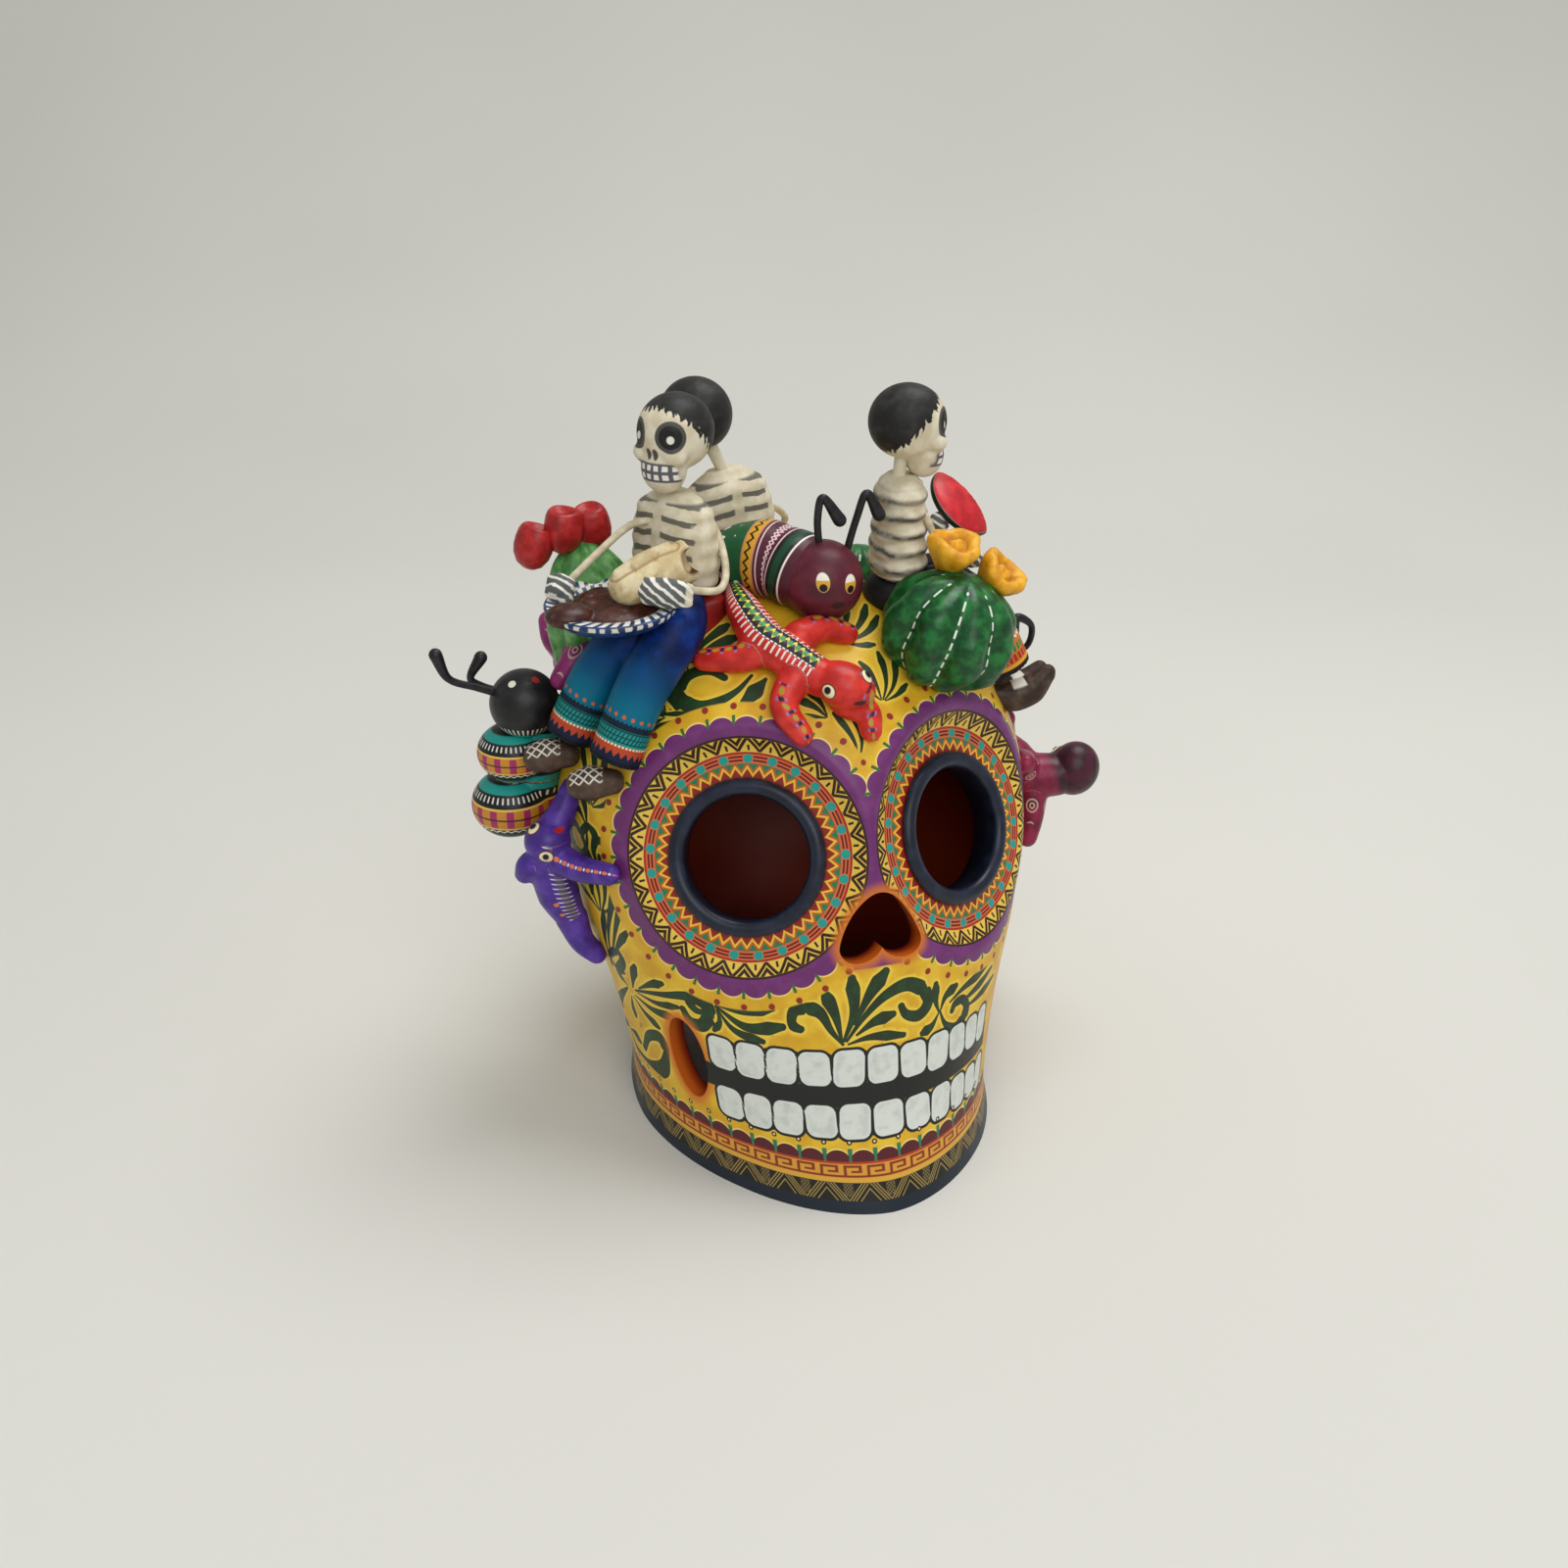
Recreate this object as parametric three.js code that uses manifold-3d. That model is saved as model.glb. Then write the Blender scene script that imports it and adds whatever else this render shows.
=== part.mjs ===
// Painted clay skull with seated skeletons, lizards, bugs and cacti.
// Millimetres, +Z up, face toward -Y, standing on z = 0. Places are measured from
// the middle of the skull's chin line, and the last lines centre the whole part.
import * as THREE from 'three';
import { mergeVertices } from 'three/addons/utils/BufferGeometryUtils.js';
import Module from 'manifold-3d';

const wasm = await Module();
wasm.setup();

// Driving dimensions of the skull
const CLEARANCE = 0.3;
const SKULL_WALL = 6;
const BACK_ROUNDNESS = 2;
const SKULL_SKEW = 0.045;
const SKULL_SKEW_START = -40;
const SKULL_CORE = [0, 5, 85];
// height, half width, front y, back y, y of the widest line, roundness of the front
const SKULL_STATIONS = [
  [0, 51, -62, 64, 0, 1.75],
  [10, 50, -57.5, 64, 2, 1.8],
  [24, 52, -53, 67, 6, 1.9],
  [42, 56, -49.5, 73, 12, 2],
  [62, 62.5, -46.5, 80, 18, 2],
  [84, 66, -42, 84, 22, 2],
  [104, 63, -36, 82, 21, 2],
  [122, 53.5, -26, 72, 19, 2],
  [137, 38.5, -10, 54, 17, 2],
  [146, 21, 4, 36, 17, 2],
  [149, 0, 17, 17, 17, 2],
];
const SKULL_HEIGHT = SKULL_STATIONS.at(-1)[0];

// Driving dimensions of the eyes, the nose and the cheek openings
const EYE_CENTRES = [[-29.3, -24.6, 91], [27.8, -24.6, 91]];
const EYE_YAW = 0.49;
const EYE_PITCH = 0.36;
const EYE_FLAT_RADIUS = 26;
const EYE_BLEND_RADIUS = 34;
const EYE_HOLE_RADIUS = 16.2;
const EYE_SLEEVE_WALL = 1.9;
const EYE_SLEEVE_OVERHANG = 1;
const EYE_HOLE_TAPER = 0.4;
const EYE_BEAD_RADIUS = 20.3;
const EYE_BEAD_HEIGHT = 2.4;
const EYE_BEAD_ROUNDING = 0.5;
const EYE_CUT_REACH = 16;
const NOSE_CENTRE = [0.4, -44, 76.5];
const NOSE_HALF_WIDTH = 11.2;
const NOSE_HEIGHT = 18;
const NOSE_NOTCH = 3.4;
const NOSE_TILT = 0.2;
const NOSE_CUT_REACH = 17;
const CHEEK_CENTRE = [45.4, -24, 33];
const CHEEK_HALF_WIDTH = 6.2;
const CHEEK_HALF_HEIGHT = 12.2;
const CHEEK_YAW = 0.98;
const CHEEK_LEAN = 0.22;
const CHEEK_CUT_REACH = 13;

// Driving dimensions that the three skeletons share
const HEAD_RADII = [9.4, 10.2, 9.6];
const JAW_CENTRE = [0, 4.8, -8.4];
const JAW_RADII = [6.1, 5.2, 6.3];
const SOCKET_CENTRE = [4.4, 10.6, -0.6];
const SOCKET_RADII = [2.9, 3.2, 3.6];
const NECK_RADIUS = 1.7;
const NECK_BITE = 4;
const WIRE_RADIUS = 0.95;
const TORSO_HEIGHT = 27;
const TORSO_HALF_WIDTH = 13.5;
const TORSO_DEPTH_RATIO = 0.6;
// share of the half width, share of the height
const TORSO_SHAPE = [[0.3, 0], [0.9, 0.08], [1, 0.3], [0.97, 0.6], [0.82, 0.88], [0.3, 1]];
const RIB_COUNT = 5;
const RIB_DEPTH = 0.09;
const LEG_RADII = [5.8, 6.8, 7, 6.7, 6.7];
const SHOE_RADII = [3.4, 4, 4.6, 3.9];

// Left skeleton: seated on a stool, with a plate of mole and a rolled taco
const LEFT_SKELETON = {
  seat: [-35.5, 18, 148.5],
  torsoTurn: [0, 0, 2.16],
  head: [-35.4, 16.6, 190.6],
  headTurn: [0, 0, 2.2],
  neck: [[-35.4, 18, 174.5], [-35.4, 17.6, 181]],
  arms: {
    right: [[-41, 17.5, 168.2], [-47.2, 16, 167.9], [-57.4, 12, 162.2], [-65, 10.5, 156.2]],
    left: [[-33, 15, 168.5], [-27.6, 13, 167.4], [-26, 5, 158], [-28.8, 0.4, 154.2], [-39, -3, 156]],
  },
  hands: {
    left: { at: [-44.8, -4.6, 156.3], radii: [7.6, 3, 3.8], turn: [0, 0.1, -0.33] },
    right: { at: [-67, 10.2, 154.4], radii: [3.8, 4.4, 3], turn: [0, 0.3, 0.5] },
  },
  trouserColour: '#173a8c',
  hips: [-37, 10, 146.5],
  hipRadii: [6, 6, 5],
  legs: [
    [[-36, 9, 147], [-40.4, -2, 145.5], [-49, -4.5, 133], [-57.2, -6, 115]],
    [[-40, 13, 146], [-49.5, 8, 142], [-58, 9.5, 131], [-65.4, 10.5, 115.6]],
  ],
  shoes: {
    left: [[-56.5, -5.5, 108], [-59.6, -4.4, 108], [-63.4, -3, 107.6], [-66.6, -2, 106.8]],
    right: [[-64.8, 11, 109.4], [-67.8, 11.6, 109.8], [-71.6, 12.2, 109.6], [-75, 13, 109]],
  },
};
const STOOL_CENTRE = [-32.5, 18.5, 148.6];
const STOOL_RADIUS = 12.6;
const STOOL_HEIGHT = 20;
const STOOL_EDGE = [1.5, 2];
const PLATE_CENTRE = [-55.2, 5.5, 147.2];
const PLATE_TILT = [0.06, -0.04, 0];
const PLATE_RADIUS = 17;
const PLATE_HEIGHT = 4.6;
const PLATE_FOOT_RADIUS = 8;
const PLATE_THICKNESS = 1.4;
const MOLE_MOUND = { at: [0, 0, 3], radii: [14.2, 13.6, 3.2] };
const MOLE_SPILL = { at: [-12, -5, 4.6], radii: [6, 5, 2.9] };
const TACO_ROLL = [[-52, 1.5, 156.8], [-44.3, 2, 159.2], [-36, 3.4, 161.4]];
const TACO_RADII = [5, 5.8, 5.4];
const TACO_FOLD = [[-54.6, 0.6, 160.2], [-48.6, 0.8, 163.2], [-41, 2, 165.4]];
const TACO_FOLD_RADII = [1.6, 2, 1.8];
const TACO_MOUTH = [[-38, 3, 161], [-29, 5, 163]];
const TACO_MOUTH_RADII = [2.9, 3.4];

// Right skeleton: black trousers, a slice of watermelon in one hand
const RIGHT_SKELETON = {
  seat: [22.4, 9, 150.6],
  torsoTurn: [0, 0, -1.85],
  head: [23.4, 9, 191.4],
  headTurn: [0, 0, -1.86],
  neck: [[21.6, 9, 175], [22.2, 9, 183]],
  arms: {
    right: [[21, 5, 170.5], [25.5, 2.5, 169.5], [31, 1, 160], [38, 2.5, 156]],
    left: [[24, 13, 170.5], [27.5, 16, 169], [31, 14, 163.8], [32.6, 9, 164.2]],
  },
  hands: {
    right: { at: [40.6, 2.8, 155.4], radii: [3.8, 2.4, 2.1], turn: [0, 0.2, 0.1] },
    left: { at: [32.8, 7, 164.7], radii: [3.4, 2.6, 2.8], turn: [0, 0, 0.4] },
  },
  trouserColour: '#1a1a1c',
  hips: [20.6, 7, 147.4],
  hipRadii: [8, 8.4, 6],
  legs: [
    [[24, 4, 148], [37, 3, 146.5], [46, 2, 137], [52.6, 0.5, 124.5]],
    [[24, 13, 148], [38, 15, 146], [49.5, 16, 134], [58, 17, 118.5]],
  ],
  shoes: {
    right: [[50.4, 1, 116.2], [54, 0.4, 116.2], [59.2, -0.6, 118.2], [63.6, -1.4, 121.4]],
    left: [[58.4, 17, 111], [62, 17, 111], [67, 17, 112.6], [71, 17, 115]],
  },
};
const MELON_CENTRE = [40.9, 11, 168.3];
const MELON_TURN = [0.118, 0.768, -0.8];
const MELON_RADIUS = 10.4;
const MELON_THICKNESS = 6;
const MELON_BULGE = 3.2;

// Back skeleton: seen from behind, red trousers
const BACK_SKELETON = {
  seat: [-14.6, 36, 148.5],
  torsoTurn: [0, -0.1, 0.15],
  head: [-24.6, 37, 190],
  headTurn: [0, 0, 0.35],
  neck: [[-17.2, 36, 174.5], [-21.6, 36.4, 183]],
  arms: {
    right: [[-12, 38, 165.6], [-5.8, 38.5, 164.9], [1.6, 40.5, 159.4], [-0.5, 44, 154.5], [-6, 49, 152]],
    left: [[-20, 38, 165.6], [-26, 39, 164.9], [-31, 43, 159], [-28, 48, 154], [-22, 51, 152]],
  },
  hands: {},
  trouserColour: '#8e2420',
  hips: [-15.5, 38, 143.5],
  hipRadii: [8.5, 8, 6],
  legs: [
    [[-20, 42, 144.5], [-22, 55, 143], [-24.5, 69, 132], [-26, 77, 117]],
    [[-10.5, 42, 144.5], [-9, 56, 143], [-8.5, 71, 132], [-8, 80, 117]],
  ],
  shoes: {
    left: [[-26, 79, 110.5], [-26.2, 83, 110.5], [-26.6, 88, 110.6], [-27, 92, 110.8]],
    right: [[-8, 82, 110.5], [-8, 86, 110.5], [-8, 91, 110.6], [-8, 95, 110.8]],
  },
};

// Bugs
const ANTENNA_RADII = [1, 0.95, 1, 1.75];
const TOP_BUG = {
  head: [-1.6, 0.5, 154],
  headRadius: 10.5,
  colours: ['#56202c', '#4f2430'],
  antennae: {
    right: [[-2.2, 0.8, 159.5], [-3.4, 0.3, 170.5], [-2.4, 0, 175.6], [2.4, 0, 169.6]],
    left: [[4.2, 0.8, 158.5], [7, 0.3, 169.5], [9.4, 0, 175.8], [13, 0, 170.2]],
  },
  beads: [],
  body: [[-4, 3, 154.6], [-9, 10, 156.4], [-15, 17, 156], [-18.5, 22.5, 151]],
  bodyRadii: [9.4, 10.2, 9.6, 10.4, 9.6, 10.3, 9.6],
};
const LEFT_BUG = {
  head: [-75.7, 24, 119.6],
  headRadius: 9.2,
  colours: ['#1a1a1c', '#1a1a1c'],
  antennae: {
    front: [[-80, 24, 122], [-88, 24, 125.4], [-94.8, 24, 128.6], [-97.6, 24, 135.4]],
    back: [[-79, 28.5, 121], [-86, 29, 123.8], [-88.6, 29, 126], [-85.6, 29, 131.6]],
  },
  beads: [
    { at: [-79, 26, 105.4], radii: [9.8, 9.8, 8] },
    { at: [-80.3, 28, 89.4], radii: [10.7, 10.7, 9.4] },
  ],
  body: [[-70, 25, 116], [-72, 27, 103], [-73, 29, 88]],
  bodyRadii: [6, 7, 6],
};
const RIGHT_BUG = {
  head: [62.4, 46, 112],
  headRadius: 9.2,
  colours: ['#3c1a22', '#4a1c26'],
  antennae: {
    front: [[66.6, 42, 113], [78, 39, 113.6], [78.2, 36.4, 121.6], [73, 36, 124.6], [72.2, 36, 119.6]],
    back: [[64, 49, 117], [66, 53, 124], [72.6, 55, 122], [69, 55.5, 115]],
  },
  beads: [
    { at: [67.4, 47, 98], radii: [9.2, 9.2, 8] },
    { at: [69.4, 48, 83], radii: [9.6, 9.6, 9] },
  ],
  body: [[57, 46, 110], [61, 47, 97], [62, 48, 82]],
  bodyRadii: [6, 7, 6],
};

// Lizards
const LIZARD_SPINE_RADII = [2.4, 4.2, 5.4, 5.2, 4.8];
const LIZARD_LEG_RADII = [4.5, 3.6, 2.9];
const LIZARDS = {
  red_lizard: {
    colour: '#c3221d',
    girth: 1,
    spine: [[-21.6, 13, 149.6], [-22.2, 1, 147.4], [-19.6, -7.6, 142.4], [-13.7, -14, 138.6], [-8.4, -19, 135.2]],
    head: { at: [-3.4, -22, 134], radii: [8.2, 6.4, 5.8], turn: [0, 0.35, -0.5] },
    legs: [
      [[-19.6, -9, 140.6], [-26.4, -7, 138.2], [-34, -2.2, 136.8]],
      [[-14.6, -17, 135.4], [-18.6, -20.4, 129.6], [-15.6, -25.8, 123.6]],
      [[-10.6, -8.4, 142.6], [-4.2, -6.6, 143.8], [2.8, -6.8, 141.6]],
      [[-2.4, -22, 131], [2.2, -25, 127.8], [2, -27.4, 123.4]],
    ],
  },
  purple_lizard: {
    colour: '#4a2c86',
    girth: 1.06,
    spine: [[-66.2, 9, 58], [-70.5, 8, 66], [-73.4, 7, 75], [-75, 6.4, 84]],
    head: { at: [-74.6, 6, 87.4], radii: [6.2, 6.2, 6], turn: [0, 0, 0] },
    legs: [
      [[-73, 7, 90], [-69.5, 9, 94.4], [-66.6, 11, 99.6]],
      [[-73, 5, 83], [-67.5, -2.5, 82.4], [-61.6, -9.4, 83.4]],
      [[-74, 7, 82], [-79.5, 7, 80.6], [-80.6, 8.4, 77.6]],
      [[-69, 8, 62.4], [-66.4, 7, 55], [-62.8, 6.4, 50.6]],
    ],
  },
  crimson_lizard: {
    colour: '#7c1440',
    girth: 1.35,
    spine: [[61, 36, 91], [66, 28, 87], [71.4, 19, 81.6], [78.6, 15, 82]],
    head: { at: [84.6, 14, 83.8], radii: [7.4, 7.2, 8.2], turn: [0, 0.25, 0.1] },
    legs: [
      [[69, 16, 85], [65.4, 10, 90.4], [63, 4, 92.6]],
      [[72, 15, 77], [71, 12.6, 70], [69.4, 11, 64.4]],
      [[66, 26, 90], [64, 22, 97], [62.6, 18, 101]],
      [[67, 28, 84], [68.4, 30, 77], [68, 32, 71]],
    ],
  },
  magenta_lizard: {
    colour: '#8a1f62',
    girth: 1,
    spine: [[-57.4, 20.4, 140], [-60, 24.4, 133], [-60.8, 32, 127], [-59.8, 40, 124]],
    head: { at: [-57.6, 45.4, 123.4], radii: [5.6, 6.6, 5.4], turn: [0, 0, 0.3] },
    legs: [
      [[-59.6, 21, 134], [-64, 18.4, 131], [-66.8, 18.2, 127.4]],
      [[-57, 25, 127.6], [-56, 24, 120], [-56.4, 23.4, 114.4]],
      [[-60, 38, 126.6], [-64, 40, 130.6], [-65, 42.4, 135]],
      [[-58.6, 40, 121], [-58.4, 40.6, 114], [-58.6, 41.4, 108.6]],
    ],
  },
};

// Cacti with their flowers and fruit
const CACTUS_RIBS = 8;
const CACTUS_RIB_DEPTH = 0.07;
const CACTI = {
  front_cactus: { colour: '#1f6a2c', at: [24, -4.4, 129], turn: [0.5, 0.36, 0], radius: 17.2, height: 31 },
  left_cactus: { colour: '#4f8f4c', at: [-51.5, 28, 114], turn: [0, -0.14, 0], radius: 12.2, height: 48 },
  back_cactus: { colour: '#226b33', at: [19, 30, 136], turn: [0, 0.08, 0], radius: 9, height: 17 },
};
const FLOWERS = {
  upper_yellow_flower: { at: [30, -8.6, 161], turn: [0.3, 0.1, 0] },
  lower_yellow_flower: { at: [42.6, -9.2, 153.6], turn: [0.5, 0.6, 0] },
};
// radius and height of the cup's outside, then of its inside and middle knob
const FLOWER_OUTSIDE = [[2.6, -6], [6.2, 0.8], [6.9, 3], [5.2, 4.4]];
const FLOWER_INSIDE = [[3, 1.8], [1.8, 3.2]];
const FLOWER_FOOT = -7;
const FLOWER_KNOB = 3.4;
const FRUIT_RADII = [5, 5, 5.8];
const FRUITS = {
  front_red_fruit: [-70.6, 26, 161],
  middle_red_fruit: [-63, 26, 164.6],
  back_red_fruit: [-54.8, 29, 164.2],
};

// Mesh detail: sides and steps of tubes, columns and rows of rounded bodies
const DETAIL = {
  skull: [32, 15],
  cavity: [12, 6],
  eye: 20,
  curve: 5,
  head: [8, 6],
  jaw: [7, 4],
  socket: [5, 3],
  torso: 8,
  wire: [4, 6],
  neck: [6, 1],
  hand: [6, 4],
  hips: [6, 4],
  leg: [6, 4],
  shoe: [5, 3],
  turned: 12,
  flower: 8,
  mole: [7, 4],
  taco: [7, 3],
  fold: [5, 2],
  mouth: [6, 1],
  antenna: [4, 5],
  ball: [8, 6],
  bead: [8, 4],
  body: [7, 6],
  spine: [5, 4],
  lizardHead: [6, 4],
  lizardLeg: [4, 2],
  cactusRows: 5,
  fruit: [6, 5],
};

// Colours and finishes read from the photograph
const BONE = '#d9d0b8';
const WIRE = '#cfc4a4';
const ANTENNA_BLACK = '#1a1a1c';
const SHOE_BROWN = '#4a3a30';

function look(colour, roughness = 0.5) {
  return new THREE.MeshStandardMaterial({ color: colour, roughness, metalness: 0 });
}

// Geometry helpers
const vec = (p) => new THREE.Vector3(...p);

function orient(points, faces) {
  let volume = 0;
  for (let i = 0; i < faces.length; i += 3) {
    const [a, b, c] = [points[faces[i]], points[faces[i + 1]], points[faces[i + 2]]];
    volume += a.dot(new THREE.Vector3().crossVectors(b, c));
  }
  return volume < 0 ? faces.reverse() : faces;
}

function meshOf(points, faces) {
  const geometry = new THREE.BufferGeometry();
  const flat = points.flatMap((p) => [p.x, p.y, p.z]);
  geometry.setAttribute('position', new THREE.Float32BufferAttribute(flat, 3));
  geometry.setIndex(orient(points, faces));
  return geometry;
}

function ringOf(count, point) {
  return Array.from({ length: count }, (_, k) => point((k / count) * Math.PI * 2));
}

// Skins a stack of equal rings and closes both ends on their middles
function skin(rings) {
  const count = rings[0].length;
  const points = rings.flat();
  const faces = [];
  for (let row = 0; row + 1 < rings.length; row += 1) {
    for (let col = 0; col < count; col += 1) {
      const a = row * count + col;
      const b = row * count + ((col + 1) % count);
      faces.push(a, b, b + count, a, b + count, a + count);
    }
  }
  for (const row of [0, rings.length - 1]) {
    const pole = points.length;
    const middle = new THREE.Vector3();
    rings[row].forEach((p) => middle.addScaledVector(p, 1 / count));
    points.push(middle);
    for (let col = 0; col < count; col += 1) {
      const a = row * count + col;
      const b = row * count + ((col + 1) % count);
      faces.push(...(row === 0 ? [b, a, pole] : [a, b, pole]));
    }
  }
  return meshOf(points, faces);
}

function sample(list, u) {
  const place = u * (list.length - 1);
  const low = Math.min(Math.floor(place), list.length - 2);
  return THREE.MathUtils.lerp(list[low], list[low + 1], place - low);
}

// Sweeps a round section of changing radius along a smooth path, with rounded ends
function tube(path, radii, [sides, steps], grow) {
  const curve = new THREE.CatmullRomCurve3(path.map(vec));
  const frames = curve.computeFrenetFrames(steps, false);
  const ring = (centre, i, radius) => ringOf(sides, (angle) => centre.clone()
    .addScaledVector(frames.normals[i], Math.cos(angle) * radius)
    .addScaledVector(frames.binormals[i], Math.sin(angle) * radius));
  const cap = (i, sign, radius) => {
    const angle = Math.PI / 4;
    const centre = curve.getPointAt(i / steps)
      .addScaledVector(frames.tangents[i], sign * radius * Math.sin(angle));
    return ring(centre, i, radius * Math.cos(angle));
  };
  const rings = [cap(0, -1, radii[0] + grow)];
  for (let i = 0; i <= steps; i += 1) {
    rings.push(ring(curve.getPointAt(i / steps), i, sample(radii, i / steps) + grow));
  }
  rings.push(cap(steps, 1, radii.at(-1) + grow));
  return skin(rings);
}

function ellipsoid(centre, radii, [around, down], grow) {
  const geometry = new THREE.SphereGeometry(1, around, down);
  geometry.rotateX(Math.PI / 2);
  geometry.scale(radii[0] + grow, radii[1] + grow, radii[2] + grow);
  return geometry.translate(...centre);
}

function lathe(profile, segments) {
  const geometry = new THREE.LatheGeometry(profile.map((p) => new THREE.Vector2(...p)), segments);
  return geometry.rotateX(Math.PI / 2);
}

function slab(shape, depth) {
  const options = { depth, bevelEnabled: false, curveSegments: DETAIL.curve };
  return new THREE.ExtrudeGeometry(shape, options).translate(0, 0, -depth / 2);
}

function cylinder(radius, length) {
  const geometry = new THREE.CylinderGeometry(radius, radius, length, DETAIL.eye);
  return geometry.rotateX(Math.PI / 2);
}

// Solid helpers
function solid(geometry) {
  const bare = new THREE.BufferGeometry();
  bare.setAttribute('position', geometry.getAttribute('position').clone());
  if (geometry.index) bare.setIndex(geometry.index.clone());
  const merged = mergeVertices(bare, 1e-4);
  return new wasm.Manifold(new wasm.Mesh({
    numProp: 3,
    vertProperties: new Float32Array(merged.getAttribute('position').array),
    triVerts: new Uint32Array(merged.index.array),
  }));
}

function joined(geometries) {
  return geometries.map(solid).reduce((whole, next) => whole.add(next));
}

function largest(body) {
  return body.decompose().reduce((best, next) => (next.volume() > best.volume() ? next : best));
}

function geometryOf(body) {
  const mesh = body.getMesh();
  const geometry = new THREE.BufferGeometry();
  geometry.setAttribute('position', new THREE.Float32BufferAttribute(mesh.vertProperties, 3));
  geometry.setIndex([...mesh.triVerts]);
  return geometry;
}

function boxOf(body) {
  const box = body.boundingBox();
  return new THREE.Box3(vec(box.min), vec(box.max));
}

function pose(at, turn) {
  const spin = new THREE.Quaternion().setFromEuler(new THREE.Euler(...turn, 'ZYX'));
  return new THREE.Matrix4().compose(vec(at), spin, new THREE.Vector3(1, 1, 1));
}

// Frame whose Z looks along the normal and whose X stays level
function facing(at, yaw, pitch) {
  const normal = new THREE.Vector3(
    Math.sin(yaw) * Math.cos(pitch),
    -Math.cos(yaw) * Math.cos(pitch),
    Math.sin(pitch),
  );
  const across = new THREE.Vector3(Math.cos(yaw), Math.sin(yaw), 0);
  const up = new THREE.Vector3().crossVectors(normal, across);
  return new THREE.Matrix4().makeBasis(across, up, normal).setPosition(...at);
}

// Assembly: every new piece is cut back from the pieces already there, leaving the clearance
const group = new THREE.Group();
group.name = 'painted_skull';
const placed = [];

function figure(name, at) {
  const inner = new THREE.Group();
  inner.name = name;
  inner.position.set(...at);
  group.add(inner);
  return inner;
}

function piece({ parent, name, material, build, carve = [], place = null, swollen = null }) {
  const matrix = place ?? new THREE.Matrix4();
  const put = (geometries) => geometries.map((geometry) => geometry.applyMatrix4(matrix));
  let body = joined(put(build(0)));
  put(carve).forEach((geometry) => { body = body.subtract(solid(geometry)); });
  const box = boxOf(body);
  for (const other of placed) {
    if (other.box.intersectsBox(box)) body = body.subtract(other.body);
  }
  body = largest(body);
  const keepOut = swollen ?? joined(put(build(CLEARANCE)));
  placed.push({ body: keepOut, box: boxOf(keepOut) });
  const frame = place ?? new THREE.Matrix4().setPosition(parent.position);
  const mesh = new THREE.Mesh(geometryOf(body).applyMatrix4(frame.clone().invert()), material);
  const local = new THREE.Matrix4().setPosition(parent.position).invert().multiply(frame);
  local.decompose(mesh.position, mesh.quaternion, mesh.scale);
  mesh.name = name;
  parent.add(mesh);
}

// Skull shell: lofted stations, two flat orbits, an open hollow and five through-cuts
const stationCurves = [1, 2, 3, 4, 5].map((column) => new THREE.SplineCurve(
  SKULL_STATIONS.map((row) => new THREE.Vector2(row[column], row[0])),
));
const eyeFrames = EYE_CENTRES.map((at) => facing(at, Math.sign(at[0]) * EYE_YAW, EYE_PITCH));

function power(value, exponent) {
  return Math.sign(value) * Math.abs(value) ** exponent;
}

// Presses a point that lies near an eye onto that eye's plane
function flattenOrbit(point, frame, inset) {
  const across = new THREE.Vector3();
  const up = new THREE.Vector3();
  const normal = new THREE.Vector3();
  frame.extractBasis(across, up, normal);
  const offset = point.clone().sub(new THREE.Vector3().setFromMatrixPosition(frame));
  const radius = Math.hypot(offset.dot(across), offset.dot(up));
  const weight = 1 - THREE.MathUtils.smoothstep(radius, EYE_FLAT_RADIUS, EYE_BLEND_RADIUS);
  const inFront = normal.dot(point.clone().sub(vec(SKULL_CORE))) > 0;
  if (inFront) point.addScaledVector(normal, -(offset.dot(normal) + inset) * weight);
}

function skullPoint(u, angle, inset) {
  const [width, front, back, widest, roundness] = stationCurves.map((curve) => curve.getPoint(u));
  const face = Math.sin(angle) < 0;
  const half = Math.max(width.x - inset, 0);
  const reach = Math.max((face ? widest.x - front.x : back.x - widest.x) - inset, 0);
  const exponent = 2 / (face ? roundness.x : BACK_ROUNDNESS);
  const point = new THREE.Vector3(
    half * power(Math.cos(angle), exponent),
    widest.x + reach * power(Math.sin(angle), exponent),
    width.y * (1 - inset / SKULL_HEIGHT),
  );
  point.x -= SKULL_SKEW * Math.max(point.y - SKULL_SKEW_START, 0);
  eyeFrames.forEach((frame) => flattenOrbit(point, frame, inset));
  return point;
}

function skullSkin([columns, rows], inset, sink) {
  const rings = [];
  for (let row = 0; row < rows; row += 1) {
    rings.push(ringOf(columns, (angle) => skullPoint(row / rows, angle, inset)));
  }
  if (sink > 0) rings.unshift(rings[0].map((p) => new THREE.Vector3(p.x, p.y, p.z - sink)));
  const crown = skullPoint(1, 0, inset);
  rings.push(rings.at(-1).map((p) => crown.clone().lerp(p, 0.02)));
  return skin(rings);
}

function noseCut() {
  const shape = new THREE.Shape();
  const top = NOSE_HEIGHT / 2;
  const side = NOSE_HALF_WIDTH;
  shape.moveTo(0, top);
  shape.bezierCurveTo(side * 0.55, top, side * 1.05, -top * 0.35, side, -top * 0.6);
  shape.bezierCurveTo(side * 0.9, -top * 1.2, side * 0.2, -top * 1.1, 0, NOSE_NOTCH - top);
  shape.bezierCurveTo(-side * 0.2, -top * 1.1, -side * 0.9, -top * 1.2, -side, -top * 0.6);
  shape.bezierCurveTo(-side * 1.05, -top * 0.35, -side * 0.55, top, 0, top);
  return slab(shape, NOSE_CUT_REACH * 2).applyMatrix4(facing(NOSE_CENTRE, 0, NOSE_TILT));
}

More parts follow.
